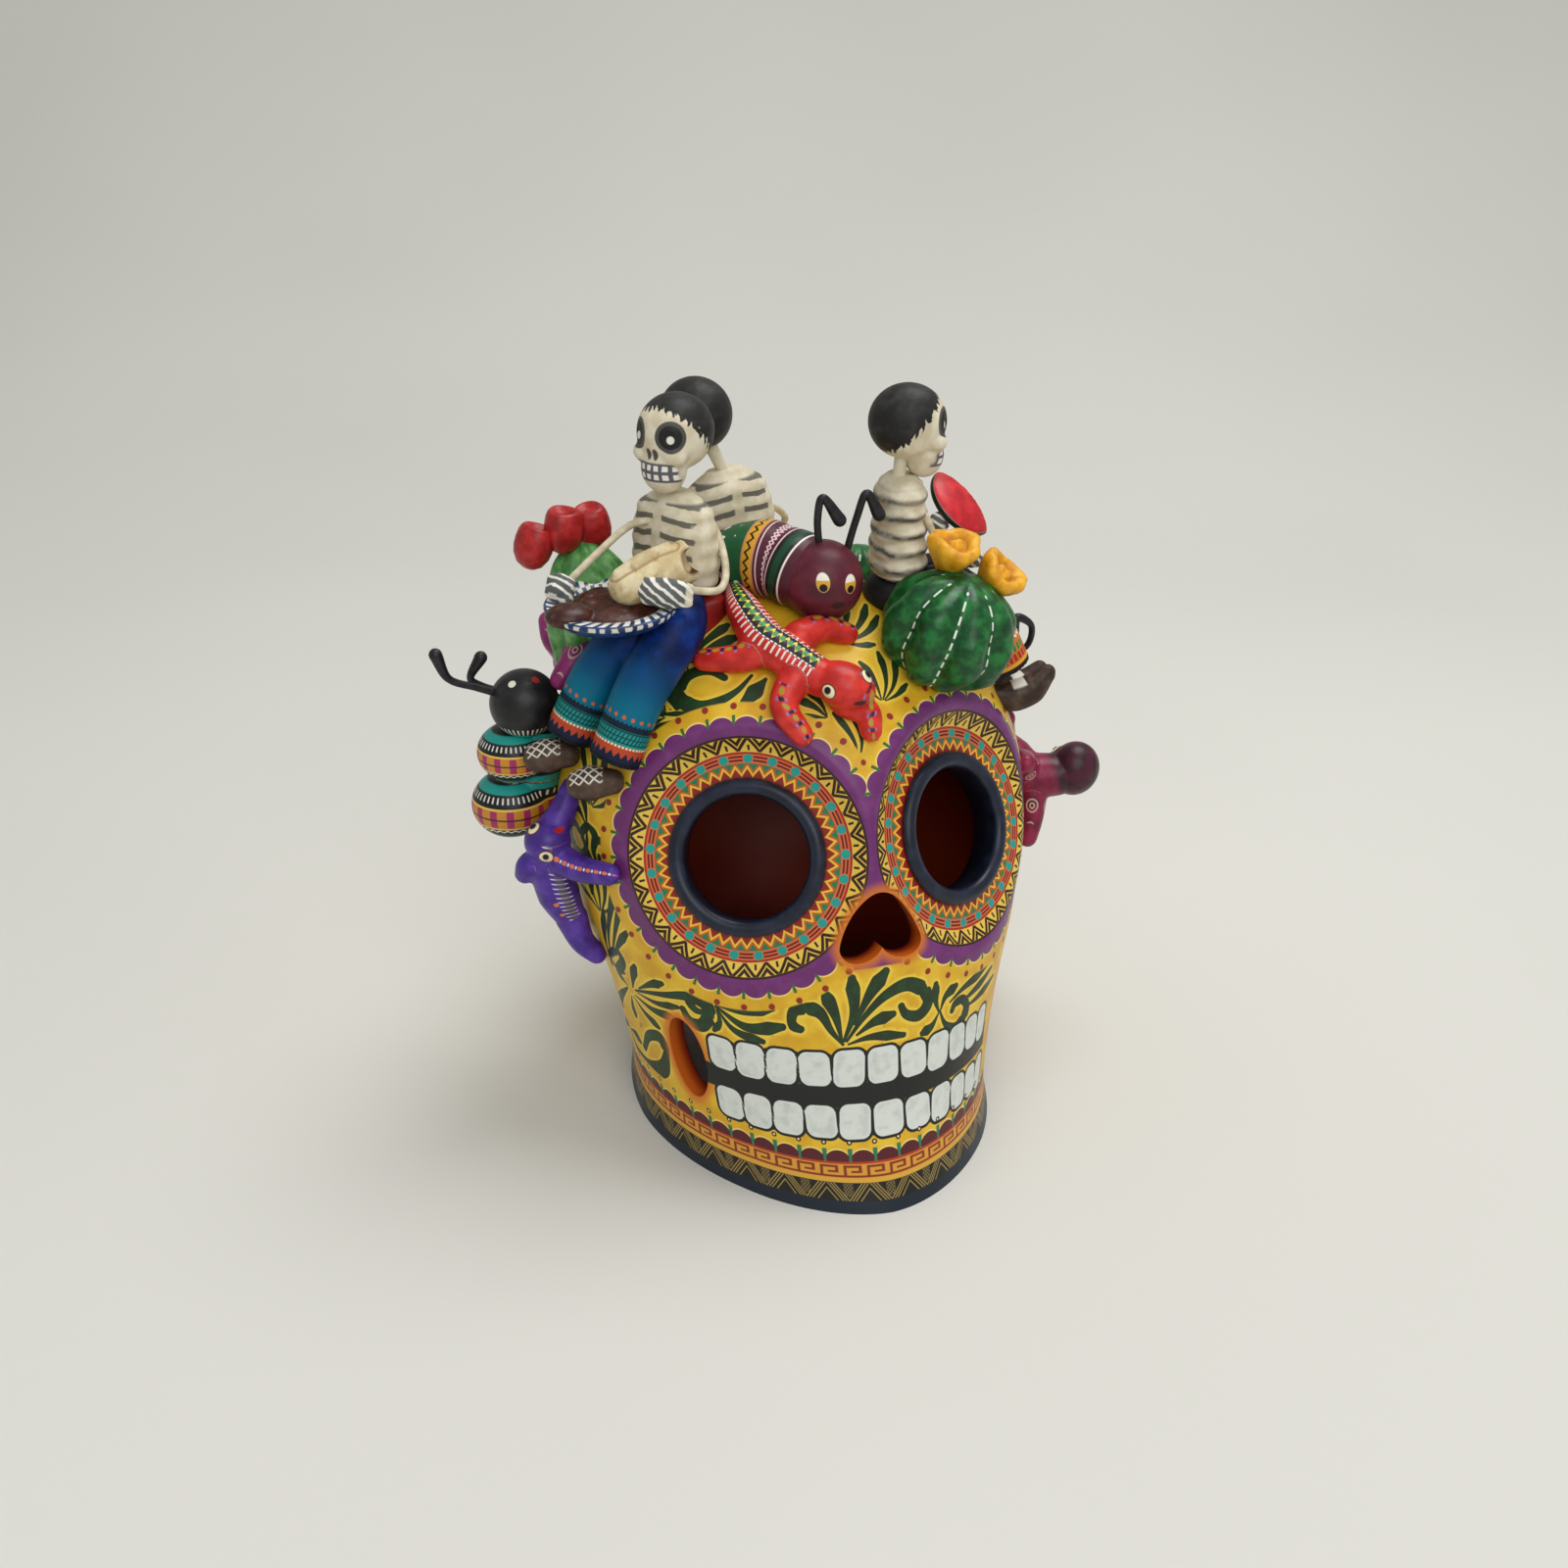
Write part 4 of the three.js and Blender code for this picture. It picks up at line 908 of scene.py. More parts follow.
HOOK = (
    (((0, 0), (-1.3, 4), (-0.9, 8), (-2.6, 10.4)), 1.2, 0.6),
    (((-2.6, 10.3), (-4.2, 8.8), (-3.6, 6.2)), 1.1, 0.1),
    (((0.5, 0.4), (2.4, 3), (4.2, 4.2)), 1.2, 0.7),
    (((0.4, -0.4), (2.6, -0.4), (4.6, 0.8)), 1.1, 0.7),
    (((-0.6, -0.2), (-2, -3), (-1.6, -6.4)), 1.3, 0.6),
)
# Drawings held up to the camera and carried onto the clay: motif, around and height of its root, size
SEEN = (
    (FAN, -10.6, 45.6, 1.0), (BRANCH, -76.2, 45.8, 1.06), (SPIRAL, -87, 25.4, 1.04), (GRASS, -84, 52, 1.04),
    (SCROLL, -22.9, 134, 0.985), (SWEEP, 23, 52.4, 1.0), (HOOK, -79, 82, 1.05),
)
# motif, around the skull, height, size, turn, mirrored
LEAVES = (
    (SPRIG, -44, 53.6, 1.0, 0.02, False),
    (SPRAY, -82, 68, 0.95, 0.1, False),
    (CURL, -83, 92, 1.0, 0.2, True),
    (SPRAY, -80, 98, 0.9, -0.1, False),
    (SPRAY, -97, 104, 0.8, 0.2, False),
    (CURL, 17.5, 49, 0.95, 0.15, False),
    (FLAME, 58, 42, 0.9, -0.2, False),
    (SPRAY, -50, 124, 0.7, 1.2, False),
    (SPRAY, -1.5, 117, 0.62, 0.25, False),
    (FLAME, -7, 126, 0.7, 0.9, False),
    (SPRAY, 9, 128, 0.7, -0.25, False),
    (SPRAY, 3, 140, 0.75, -0.9, False),
    (FLAME, 20, 132, 0.8, -1.2, False),
    (FLAME, 42, 121, 0.9, 0.3, False),
    (FLAME, 79, 60, 1.1, -0.1, False),
    (CURL, 80, 38, 1.1, 0.3, False),
    (CURL, 84, 90, 1.1, -0.2, False),
    (SPRAY, 76, 100, 0.9, 0.1, False),
)
print("motifs placed:", len(SEEN) + len(LEAVES))


# %% Laying a drawing on the clay
def surface_at(distance, u, behind=False):
    """Points of the skull at a distance around, from the front or back midline, and a height step."""
    made = []
    for s, v in zip(distance, u):
        v = min(max(v, 0.0), 1.0)
        step = v * (len(ROWS) - 1)
        lower = min(int(step), len(ROWS) - 2)
        girth = AROUND[lower] + (AROUND[lower + 1] - AROUND[lower]) * (step - lower)
        whole = girth[-1] - girth[0]
        s = (s + (girth[-1] if behind else 0.0) - girth[0]) % whole + girth[0] if whole > 0 else 0.0
        made.append(skull_point(v, np.interp(s, girth, TURNS) - pi / 2))
    return np.array(made)


def seen_at(root, flat):
    """Points of the skull behind a drawing held up to the camera, and which of them are on it."""
    eye = place(CAMERA_PLACE)
    aims = [place(root) + (across * float(x) + upward * float(y)) * MM for x, y in flat]
    hits = [outer_skin.ray_cast(eye, (aim - eye).normalized())[0] for aim in aims]
    kept = np.array([hit is not None for hit in hits])
    return np.array([hit / MM - SHIFT for hit in hits if hit is not None]), kept


print("root of the first drawing:", surface_at((SEEN[0][1],), (SEEN[0][2] / SKULL_HEIGHT,)).round(1)[0])

# %% Brush strokes in lanes
STROKE_LANES, STROKE_MARGIN, SEEN_BRUSH = 15, 1.5, 1.25
STROKE_STEPS, LEAST_POINTS = 44, 4
NO_STROKE = (9.0, 0.01, 200.0)
lanes = np.tile(NO_STROKE, (STROKE_LANES, len(skull_points), 1))
lane_gap = np.full((STROKE_LANES, len(skull_points)), np.inf)
lane_lines = [[] for _ in range(STROKE_LANES)]


def clear_of(line, other):
    """The least distance between two strokes."""
    return np.linalg.norm(line[::2, None] - other[None, ::2], axis=2).min()


def free_lane(line, reach):
    """The first lane whose strokes all keep clear of this one."""
    for number, strokes in enumerate(lane_lines):
        if all(clear_of(line, other) > reach + far for other, far in strokes):
            return number
    return None


def paint_stroke(line, brush):
    """Keeps each near point's place across a stroke, the brush's half width and the way past its end."""
    reach = brush.max() + STROKE_MARGIN
    lane = free_lane(line, reach)
    inside = (skull_points > line.min(0) - reach) & (skull_points < line.max(0) + reach)
    near = np.flatnonzero(inside.all(1))
    if lane is None or not len(near):
        return False
    lane_lines[lane].append((line, reach))
    gap = np.linalg.norm(skull_points[near][:, None] - line[None], axis=2)
    closest = gap.argmin(1)
    gap = gap.min(1)
    course = np.gradient(line, axis=0)
    course /= np.linalg.norm(course, axis=1)[:, None]
    along = np.concatenate([[0.0], np.cumsum(np.linalg.norm(np.diff(line, axis=0), axis=1))])
    offset, forward = skull_points[near] - line[closest], course[closest]
    sideways = np.cross(skull_points[near] - SKULL_CORE, forward)
    sideways /= np.linalg.norm(sideways, axis=1)[:, None]
    gone = along[closest] + (offset * forward).sum(1)
    beyond = np.maximum(-gone, gone - along[-1])
    measures = np.stack([(offset * sideways).sum(1), np.interp(gone, along, brush), beyond], 1)
    won = (gap < reach) & (gap < lane_gap[lane, near])
    lanes[lane, near[won]] = measures[won]
    lane_gap[lane, near[won]] = gap[won]
    return True


# %% Painting the leaves
def paint_motif(motif, s0, z0, size, tilt=0.0, mirrored=False, seen=False, behind=False):
    """Paints every stroke of a motif and counts those that found no room."""
    u0 = float(np.interp(z0, ROW_HEIGHTS, ROWS))
    lift = np.linalg.norm(np.diff(surface_at((s0, s0), (u0 - 0.01, u0 + 0.01), behind), axis=0)) / 0.02
    root = surface_at((s0,), (u0,), behind)[0]
    missed = 0
    for stroke, broad, widest_at in motif:
        flat = smooth_path([(x, y, 0) for x, y in stroke], STROKE_STEPS)[:, :2]
        flat = flat * size * (-1 if mirrored else 1, 1)
        flat = flat @ np.array(((cos(tilt), sin(tilt)), (-sin(tilt), cos(tilt))))
        if seen:
            line, kept = seen_at(root, flat)
        else:
            line = surface_at(s0 + flat[:, 0], u0 + flat[:, 1] / lift, behind)
            kept = np.full(len(flat), True)
        t = np.linspace(0, 1, len(flat))
        swell = np.where(t < widest_at, t / widest_at, 1 - 0.55 * (t - widest_at) / (1 - widest_at))
        brush = broad * size * (SEEN_BRUSH if seen else 1.0) * (0.2 + 0.8 * np.clip(swell, 0, 1) ** 1.2)
        missed += not (kept.sum() > LEAST_POINTS and paint_stroke(line, brush[kept]))
    return missed


missed = sum(paint_motif(*plan, seen=True) for plan in SEEN) + sum(paint_motif(*plan) for plan in LEAVES)

# The back has curls and sprays by turns, in rows
BACK_HEIGHTS, BACK_SPACING, BACK_SIZE = (37, 62, 87, 111), 27, 1.15
FRONT_PAINTED, SPRAY_DROP = 194, 9
for level_number, z0 in enumerate(BACK_HEIGHTS):
    count = int((2 * np.interp(z0, ROW_HEIGHTS, AROUND[:, -1]) - FRONT_PAINTED) // BACK_SPACING)
    for k in range(count):
        s0 = (k - (count - 1) / 2) * BACK_SPACING
        lean = 0.2 * sin(k * 2.1 + level_number)
        motif, drop = (CURL, 0) if (k + level_number) % 2 else (SPRAY, SPRAY_DROP)
        missed += paint_motif(motif, s0, z0 - drop, BACK_SIZE, lean, k % 4 > 1, behind=True)
print("strokes in each lane:", [len(lines) for lines in lane_lines], "left out:", missed)

# %% Distance from the cut edges
# An edge of the mesh that starts on the skin and dives under it belongs to the rim of an opening
SKIN_DEPTH, DIVE_DEPTH, FAR_FROM_EDGE = 0.05, 0.8, 99.0
ends = np.empty(len(skull.data.edges) * 2, int)
skull.data.edges.foreach_get("vertices", ends)
ends = ends.reshape(-1, 2)
dives = (depth[ends].min(1) < SKIN_DEPTH) & (depth[ends].max(1) > DIVE_DEPTH)
upper = np.where(depth[ends[:, 0]] < depth[ends[:, 1]], ends[:, 0], ends[:, 1])
on_edge = [i for i in np.unique(upper[dives]) if skull_points[i, 2] > 2 and skull_points[i, 1] < 0]
tree = KDTree(len(on_edge))
for number, i in enumerate(on_edge):
    tree.insert(skull_points[i], number)
tree.balance()
edge_gap = np.array([tree.find(point)[2] if point[1] < 0 else FAR_FROM_EDGE for point in skull_points])
print("points on cut edges:", len(on_edge))

# %% Keeping the measures on the mesh
measures = {"local": skull_points, "around": around, "depth": depth, "tooth": tooth, "edge_gap": edge_gap}
for name, values in measures.items():
    write(skull, name, values)
for number, values in enumerate(lanes):
    write(skull, f"stroke_{number}", values)
print("measures kept:", len(measures) + len(lanes))

# %% [markdown]
# ## Painting the skull
# The ground is a warm yellow. Green leaves with pale outlines come first, then the purple scallops around
# the eyes, the ringed bands, the black mouth with white teeth, and the bands at the base. Each band is
# written as the distances where it starts and stops, as it would be marked with a compass and a ruler. A
# separate material for each band would need the mesh cut along every line, so all of it is one paint in
# many layers.

# %% Yellow ground and compass
DARK_LINE, PALE_LINE = "#33190f", "#f0d67a"
skull_paint = Paint("skull_paint", "#dfb024")
x, y, z = skull_paint.triple("local")
around_v, depth_v = skull_paint.number("around"), skull_paint.number("depth")
tooth_v, edge_v = skull_paint.number("tooth"), skull_paint.number("edge_gap")
skull_paint.brushed("#cf9a1e", "#ecc93e", 8.0)

# Compass coordinates of the nearer eye
ex, ey, ez = abs(x - FACE_MIDLINE) - EYE_OFFSET, y - EYE_Y, z - EYE_Z
wide = ex * cos(EYE_YAW) + ey * sin(EYE_YAW)
tall = ex * (-sin(EYE_PITCH) * sin(EYE_YAW)) + ey * (sin(EYE_PITCH) * cos(EYE_YAW)) + ez * cos(EYE_PITCH)
ring = length(wide, tall)
compass = tall.math("ARCTAN2", wide)
FACE_BACK = 12.0
outward = y.under(FACE_BACK, 1.0)


def teeth_round(count):
    """A zigzag between 0 and 1 with so many teeth around an eye."""
    return compass.fold(tau / count) * (count / pi)


print("eye compass set at", EYE_OFFSET, "mm each side")

# %% Leaf layers
LEAF_START, LEAF_FLOOR = 39.5, 19.5
leaf_room = (ring.over(LEAF_START, 0.3) + y.over(FACE_BACK, 0.5)).least(1.0) * z.over(LEAF_FLOOR, 0.2)
leaf_v = None
for number in range(STROKE_LANES):
    sideways, brush, beyond = skull_paint.triple(f"stroke_{number}")
    gap = length(sideways, beyond.most(0.0)) - brush
    leaf_v = gap if leaf_v is None else leaf_v.least(gap)
skull_paint.layer("#efcf4a", leaf_v.under(0.7, 0.6) * leaf_room * 0.8)
skull_paint.layer("#24331a", leaf_v.under(0.0) * leaf_room)
thick = skull_paint.noise(3.0).over(0.52, 0.12)
skull_paint.layer("#1c4a25", leaf_v.under(-0.35, 0.3) * leaf_room * thick * 0.7)
print("leaf lanes painted:", STROKE_LANES)

# %% Purple scallops
SCALLOPS, SCALLOP_FOOT, SCALLOP_RISE = 33, 33.4, 2.6
RED_DOT_RING, RED_DOT = 38.6, 0.85
lobe = teeth_round(SCALLOPS)
lobe_edge = SCALLOP_FOOT + SCALLOP_RISE * (1.0 - lobe * lobe).math("SQRT")
bridge = abs(x - FACE_MIDLINE).under(6.6, 0.2) * z.within(66.0, 104.0, 0.3) * y.under(-20.0)
between = compass.fold(tau / SCALLOPS) * RED_DOT_RING - RED_DOT_RING * pi / SCALLOPS
skull_paint.layer("#8f2a1c", length(between, ring - RED_DOT_RING).under(RED_DOT) * outward)
skull_paint.layer(PALE_LINE, ring.under(lobe_edge + 0.4) * outward)
skull_paint.layer("#2f6b35", lobe.over(0.88, 0.03) * ring.within(33.2, 36.4) * outward)
purple = (ring.under(lobe_edge) * outward).most(bridge)
skull_paint.layer("#6a2a68", purple)
skull_paint.layer("#7f3a7c", purple * skull_paint.noise(5.0).over(0.56, 0.1) * 0.5)
print("scallops around each eye:", SCALLOPS)

# %% Zigzag ring
ZIGZAGS, ZIGZAG_LOW, ZIGZAG_TOP = 31, 27.0, 30.5
skull_paint.layer(DARK_LINE, ring.under(ZIGZAG_TOP + 0.6) * outward)
skull_paint.layer("#e5c04c", ring.under(ZIGZAG_TOP) * outward)
saw = teeth_round(ZIGZAGS)
for low_edge, high_edge in ((27.1, 30.7), (28.85, 32.45)):
    zigzag = abs(ring - (saw * (high_edge - low_edge) + low_edge)).under(0.64, 0.14)
    skull_paint.layer(DARK_LINE, zigzag * ring.within(ZIGZAG_LOW, ZIGZAG_TOP) * outward)
dash = (1.0 - saw).under(0.11, 0.03) * ring.within(27.3, 28.8)
skull_paint.layer(DARK_LINE, dash * outward)
print("zigzags around each eye:", ZIGZAGS)

# %% Dotted and toothed rings
DOTS, DOT_RING, DOT = 25, 25.2, 1.2
skull_paint.layer("#a8281a", ring.under(26.9) * outward)
skull_paint.layer("#d4673a", ring.under(26.3) * outward)
dot_step = compass.fold(tau / DOTS) * DOT_RING
for line_ring in (DOT_RING - 0.45, DOT_RING + 0.45):
    skull_paint.layer("#5e0f0c", abs(ring - line_ring).under(0.24, 0.08) * dot_step.over(1.35) * outward)
skull_paint.layer("#1f9a8c", length(dot_step, ring - DOT_RING).under(DOT) * outward)
skull_paint.layer("#a0501f", ring.under(23.95) * outward)
TRIANGLES, TRIANGLE_RISE = 46, 2.1
tri = teeth_round(TRIANGLES)
skull_paint.layer("#c9571c", ring.under(23.7) * outward)
skull_paint.layer("#2c7a4e", ring.over(22.1 + (1.0 - tri) * 2.2) * ring.under(23.9) * outward)
skull_paint.layer("#f0bf3c", ring.under(23.5 - tri * TRIANGLE_RISE) * outward)
skull_paint.layer("#93231a", ring.under(22.6 - tri * TRIANGLE_RISE) * outward)
print("dots and triangles around each eye:", DOTS, TRIANGLES)

# %% Worn edges, mouth and teeth
not_eye = ring.over(24.0)
skull_paint.layer("#d2701c", edge_v.under(1.7, 1.9) * not_eye * z.over(17.0))
MOUTH_LOW, MOUTH_TOP, MOUTH_RIGHT, MOUTH_LEFT = 27.6, 34.6, -50.0, 41.5
mouth_band = z.within(MOUTH_LOW, MOUTH_TOP, 0.3) * around_v.within(MOUTH_RIGHT, MOUTH_LEFT, 0.3)
skull_paint.layer("#1b1c1b", mouth_band.most(tooth_v.under(0.8)))
skull_paint.layer("#d9ddd6", tooth_v.under(0.0))
chalky = skull_paint.noise(3.2, 5.0).over(0.56, 0.12)
skull_paint.layer("#aeb6b0", tooth_v.under(-0.5, 0.5) * chalky * 0.45)
print("teeth painted:", 2 * (2 * TEETH_EACH_SIDE + 1))

# %% Scallops and beads above the base
BASE_SCALLOP, ARCH_FOOT, ARCH_RISE, BEAD_HEIGHT = 6.7, 13.2, 3.0, 18.2
arch = around_v.fold(BASE_SCALLOP) / (BASE_SCALLOP / 2)
arch_top = ARCH_FOOT + ARCH_RISE * (1.0 - arch * arch).math("SQRT")
low_face = z.under(LEAF_FLOOR)
bead = length(around_v.fold(BASE_SCALLOP) - BASE_SCALLOP / 2, z - BEAD_HEIGHT)
skull_paint.layer("#2a150c", bead.under(0.72) * low_face)
skull_paint.layer("#efe2b4", bead.under(0.3) * low_face)
skull_paint.layer(PALE_LINE, z.under(arch_top + 0.42))
skull_paint.layer("#2d7a55", arch.over(0.82, 0.03) * z.within(13.0, 16.6))
skull_paint.layer("#571c22", z.under(arch_top) * arch.under(0.9, 0.04))
print("scallop pitch at the base:", BASE_SCALLOP, "mm")

# %% Key pattern
KEY, KEY_FOOT, KEY_HEIGHT = 6.2, 8.9, 3.5
skull_paint.layer("#b33a1c", z.under(13.1))
skull_paint.layer("#d89a34", z.under(12.5))
key_u, key_v = around_v.cell(KEY), (z - KEY_FOOT) / KEY_HEIGHT


def bar(u_low, u_high, v_low, v_high):
    return key_u.within(u_low, u_high, 0.02) * key_v.within(v_low, v_high, 0.03)


key = bar(-0.1, 1.1, 0.04, 0.2).most(bar(0.04, 0.17, 0.1, 0.9)).most(bar(0.04, 0.8, 0.76, 0.94))
key = key.most(bar(0.68, 0.82, 0.4, 0.9)).most(bar(0.36, 0.82, 0.38, 0.54))
skull_paint.layer("#86321a", key)
skull_paint.layer("#d9a53c", z.under(8.8))
print("key pitch:", KEY, "mm")

# %% Chevrons at the foot
VEE, VEE_FOOT, VEE_TOP = 11.4, 3.2, 7.6
skull_paint.layer("#1d1c15", z.under(7.7))
slant = around_v.fold(VEE) / (VEE / 2)
for shift in (0.0, 0.22, 0.44, 0.8):
    chevron = abs((z - VEE_FOOT) / 4.4 - slant * 1.5 + shift).under(0.04, 0.035)
    skull_paint.layer("#ad924e", chevron * z.within(VEE_FOOT, VEE_TOP))
rising, falling = ((around_v + z * lean).fold(0.9).under(0.13, 0.08) for lean in (0.9, -0.9))
skull_paint.layer("#8d7a48", rising.most(falling) * slant.under(0.22, 0.04) * z.within(4.2, VEE_TOP) * 0.8)
skull_paint.layer("#1b2430", z.under(3.1))
print("chevron pitch:", VEE, "mm")

# %% Walls of the openings and the hollow, with painted shade deeper in
off_ground = z.over(0.6)
# The walls of the openings are painted orange and the hollow dark red; the fall from orange to near black
# with depth into the wall is painted shade
skull_paint.layer("#c9601a", depth_v.over(0.25, 0.12) * off_ground)
skull_paint.layer("#8a240f", depth_v.over(3.6, 2.0) * off_ground)
skull_paint.layer("#370a06", depth_v.over(5.5, 0.5) * off_ground)
dress(skull, "skull_shell", skull_paint.done(roughness=0.4, coat=0.1, bump=0.1, grain=1.6))

# %% [markdown]
# ## Eye rims
# A rolled coil of dark blue clay lines each eye and laps onto the flat around it. A torus would give the
# roll but not the sleeve inside the hole, so the whole section is spun and set on each eye.

# %% Eye rims
EYE_FOOT, RIM_REST, SLEEVE_PLAY = -7.0, 0.3, 0.1
ROLL_HALF_WIDTH, ROLL_RISE, ROLL_FOOT = 2.15, 1.9, 0.5
roll_middle = (EYE_HOLE + EYE_BEAD) / 2
half_turn = np.linspace(0, pi, 15)
roll_arc = [(roll_middle + ROLL_HALF_WIDTH * cos(t), ROLL_FOOT + ROLL_RISE * sin(t)) for t in half_turn]
rim_profile = [
    (EYE_HOLE + 0.4, EYE_FOOT), (EYE_SLEEVE - SLEEVE_PLAY, EYE_FOOT), (EYE_SLEEVE - SLEEVE_PLAY, RIM_REST),
    (EYE_BEAD, RIM_REST),
    *roll_arc,
    (EYE_HOLE + SLEEVE_PLAY, 0.0), (EYE_HOLE + 0.4, EYE_FOOT),
]
rim_paint = Paint("rim_paint", "#181e30")
rim_paint.brushed("#10141f", "#262d42", 5.0)
rim_material = rim_paint.done(roughness=0.38, coat=0.1, bump=0.12, grain=2.0)
for node, spot in zip(("eye_rim_right", "eye_rim_left"), EYES):
    rim = turned(rim_profile, 96)
    middle, wide_axis, tall_axis, out = (Vector(part) for part in spot)
    facing_out = Matrix((wide_axis, tall_axis, out)).transposed().to_4x4()
    rim.matrix_world = Matrix.Translation(place(middle)) @ facing_out
    dress(settle(rim), node, rim_material)

# %% [markdown]
# ## Skeleton parts
# The three skeletons share their parts: a ball of a head with a jaw pressed on, a barrel chest with ribs,
# wire arms, rolled trouser legs and small shoes. Three separate models would repeat the same steps, so each
# part is made by one function and placed by a plan: a table of the places where that skeleton's parts sit.

# %% Sizes of the skeletons' parts
HEAD_RADII = (9.4, 10.2, 9.6)
JAW_CENTRE, JAW_RADII = (0, 4.8, -8.4), (6.1, 5.2, 6.3)
SOCKET = (5.0, 8.2, 0.4)
NECK_RADIUS, NECK_BITE, WIRE_RADIUS = 1.7, 4.0, 0.95
TORSO_HEIGHT, TORSO_HALF_WIDTH, TORSO_DEPTH = 27.0, 13.5, 0.6
# Share of the half width, then share of the height; ribs deeper than DEEP_RIBS take the carved shape
TORSO_SHAPE = np.array(((0.3, 0), (0.9, 0.08), (1, 0.3), (0.97, 0.6), (0.82, 0.88), (0.3, 1)))
CARVED_SHAPE = np.array((
    (0.4, 0), (0.86, 0.05), (1, 0.15), (0.97, 0.3), (0.9, 0.55), (0.86, 0.88), (0.78, 0.95), (0.3, 1),
))
DEEP_RIBS, RIB_PITCH = 0.05, 4.5
LEG_RADII, SHOE_RADII, TOE_RADII = (5.8, 6.8, 7, 6.7, 6.7), (3, 3.7, 4.3, 3.6), (3.2, 4.1, 3.9, 2.3)
SOLE = 0.8
print("torso sizes:", TORSO_HALF_WIDTH * 2, TORSO_HALF_WIDTH * 2 * TORSO_DEPTH, TORSO_HEIGHT)

# %% Skeleton plans
LEFT_SKELETON = {
    "seat": (-35.5, 18, 148.5), "torso_turn": (0, 0, 2.16), "ribs": 0.03,
    "head": (-35.4, 16.6, 190.6), "head_turn": (0, 0, 2.2), "neck": ((-35.4, 18, 174.5), (-35.4, 17.6, 181)),
    "arms": {"right": ((-41, 17.5, 168.2), (-47.2, 16, 167.9), (-57.4, 12, 162.2), (-65, 10.5, 156.2)),
             "left": ((-33, 15, 168.5), (-27.6, 13, 167.4), (-26, 5, 158), (-28.8, 0.4, 154.2),
                      (-39, -3, 156))},
    "hands": {"left": ((-44.8, -4.6, 156.3), (7.6, 3, 3.8), (0, 0.1, -0.33)),
              "right": ((-67, 10.2, 154.4), (3.8, 4.4, 3), (0, 0.3, 0.5))},
    "hips": ((-37, 10, 146.5), (6, 6, 5)),
    "legs": (((-36, 9, 147), (-40.4, -2, 145.5), (-50.2, -4.5, 132.6), (-58.8, -6, 114)),
             ((-40, 13, 146), (-49.5, 8, 142), (-58.6, 9.5, 130.8), (-66.6, 10.5, 114.8))),
    "shoes": {"left": ((-59, -4.8, 107.8), (-61.4, -4, 107.7), (-64.2, -3, 107.3), (-66.8, -2, 106.8)),
              "right": ((-67, 11.2, 109.4), (-69.6, 11.8, 109.6), (-72.4, 12.4, 109.4), (-75, 13, 109))},
}
RIGHT_SKELETON = {
    "seat": (22.4, 9, 150.6), "torso_turn": (0, 0, -1.85), "ribs": 0.1,
    "head": (23.4, 9, 191.4), "head_turn": (0, 0, -1.62), "neck": ((21.6, 9, 175), (22.2, 9, 183)),
    "arms": {"right": ((21, 5, 170.5), (25.5, 2.5, 169.5), (31, 1, 160), (38, 2.5, 156)),
             "left": ((24, 13, 170.5), (27.5, 16, 169), (31, 14, 163.8), (32.6, 9, 164.2))},
    "hands": {"right": ((40.6, 2.8, 155.4), (3.8, 2.4, 2.1), (0, 0.2, 0.1)),
              "left": ((32.8, 7, 164.7), (3.4, 2.6, 2.8), (0, 0, 0.4))},
    "hips": ((20.6, 7, 147.4), (8, 8.4, 6)),
    "legs": (((24, 4, 148), (37, 3, 146.5), (46, 2, 137), (52.6, 0.5, 124.5)),
             ((24, 13, 148), (38, 15, 146), (49.5, 16, 134), (58, 17, 118.5))),
    "shoes": {"right": ((50.4, 1, 116.2), (54, 0.4, 116.0), (59.6, -0.6, 117.8), (64.2, -1.4, 122.4)),
              "left": ((58.4, 17, 111), (62, 17, 110.8), (67.4, 17, 112.2), (71.6, 17, 116))},
}
BACK_SKELETON = {
    "seat": (-14.6, 36, 148.5), "torso_turn": (0, -0.1, 0.15), "ribs": 0.03,
    "head": (-24.6, 37, 190), "head_turn": (0, 0, 0.35), "neck": ((-17.2, 36, 174.5), (-21.6, 36.4, 183)),
    "arms": {"right": ((-12, 38, 165.6), (-5.8, 38.5, 164.9), (1.6, 40.5, 159.4), (-0.5, 44, 154.5),
                       (-6, 49, 152)),
             "left": ((-20, 38, 165.6), (-26, 39, 164.9), (-31, 43, 159), (-28, 48, 154), (-22, 51, 152))},
    "hands": {},
    "hips": ((-15.5, 38, 143.5), (8.5, 8, 6)),
    "legs": (((-20, 42, 144.5), (-22, 55, 143), (-24.5, 69, 132), (-26, 77, 117)),
             ((-10.5, 42, 144.5), (-9, 56, 143), (-8.5, 71, 132), (-8, 80, 117))),
    "shoes": {"left": ((-26, 79, 110.5), (-26.2, 83, 110.5), (-26.6, 88, 110.6), (-27, 92, 110.8)),
              "right": ((-8, 82, 110.5), (-8, 86, 110.5), (-8, 91, 110.6), (-8, 95, 110.8))},
}
print("skeletons planned:", len((LEFT_SKELETON, RIGHT_SKELETON, BACK_SKELETON)))

# %% [markdown]
# ### Bone paint
# Heads are cream with black hair that ends in ragged strokes, ringed dark eyes and a grey mouth with white
# teeth. Chests carry short grey strokes, and hands are hatched in grey and white. All of it is measured in
# the part's own frame, so one paint serves three skeletons however they are turned.


# %% Head paint
def bone_ground(name):
    paint = Paint(name, "#d8ceb4")
    return paint.brushed("#c3b695", "#e6dfca", 4.0)


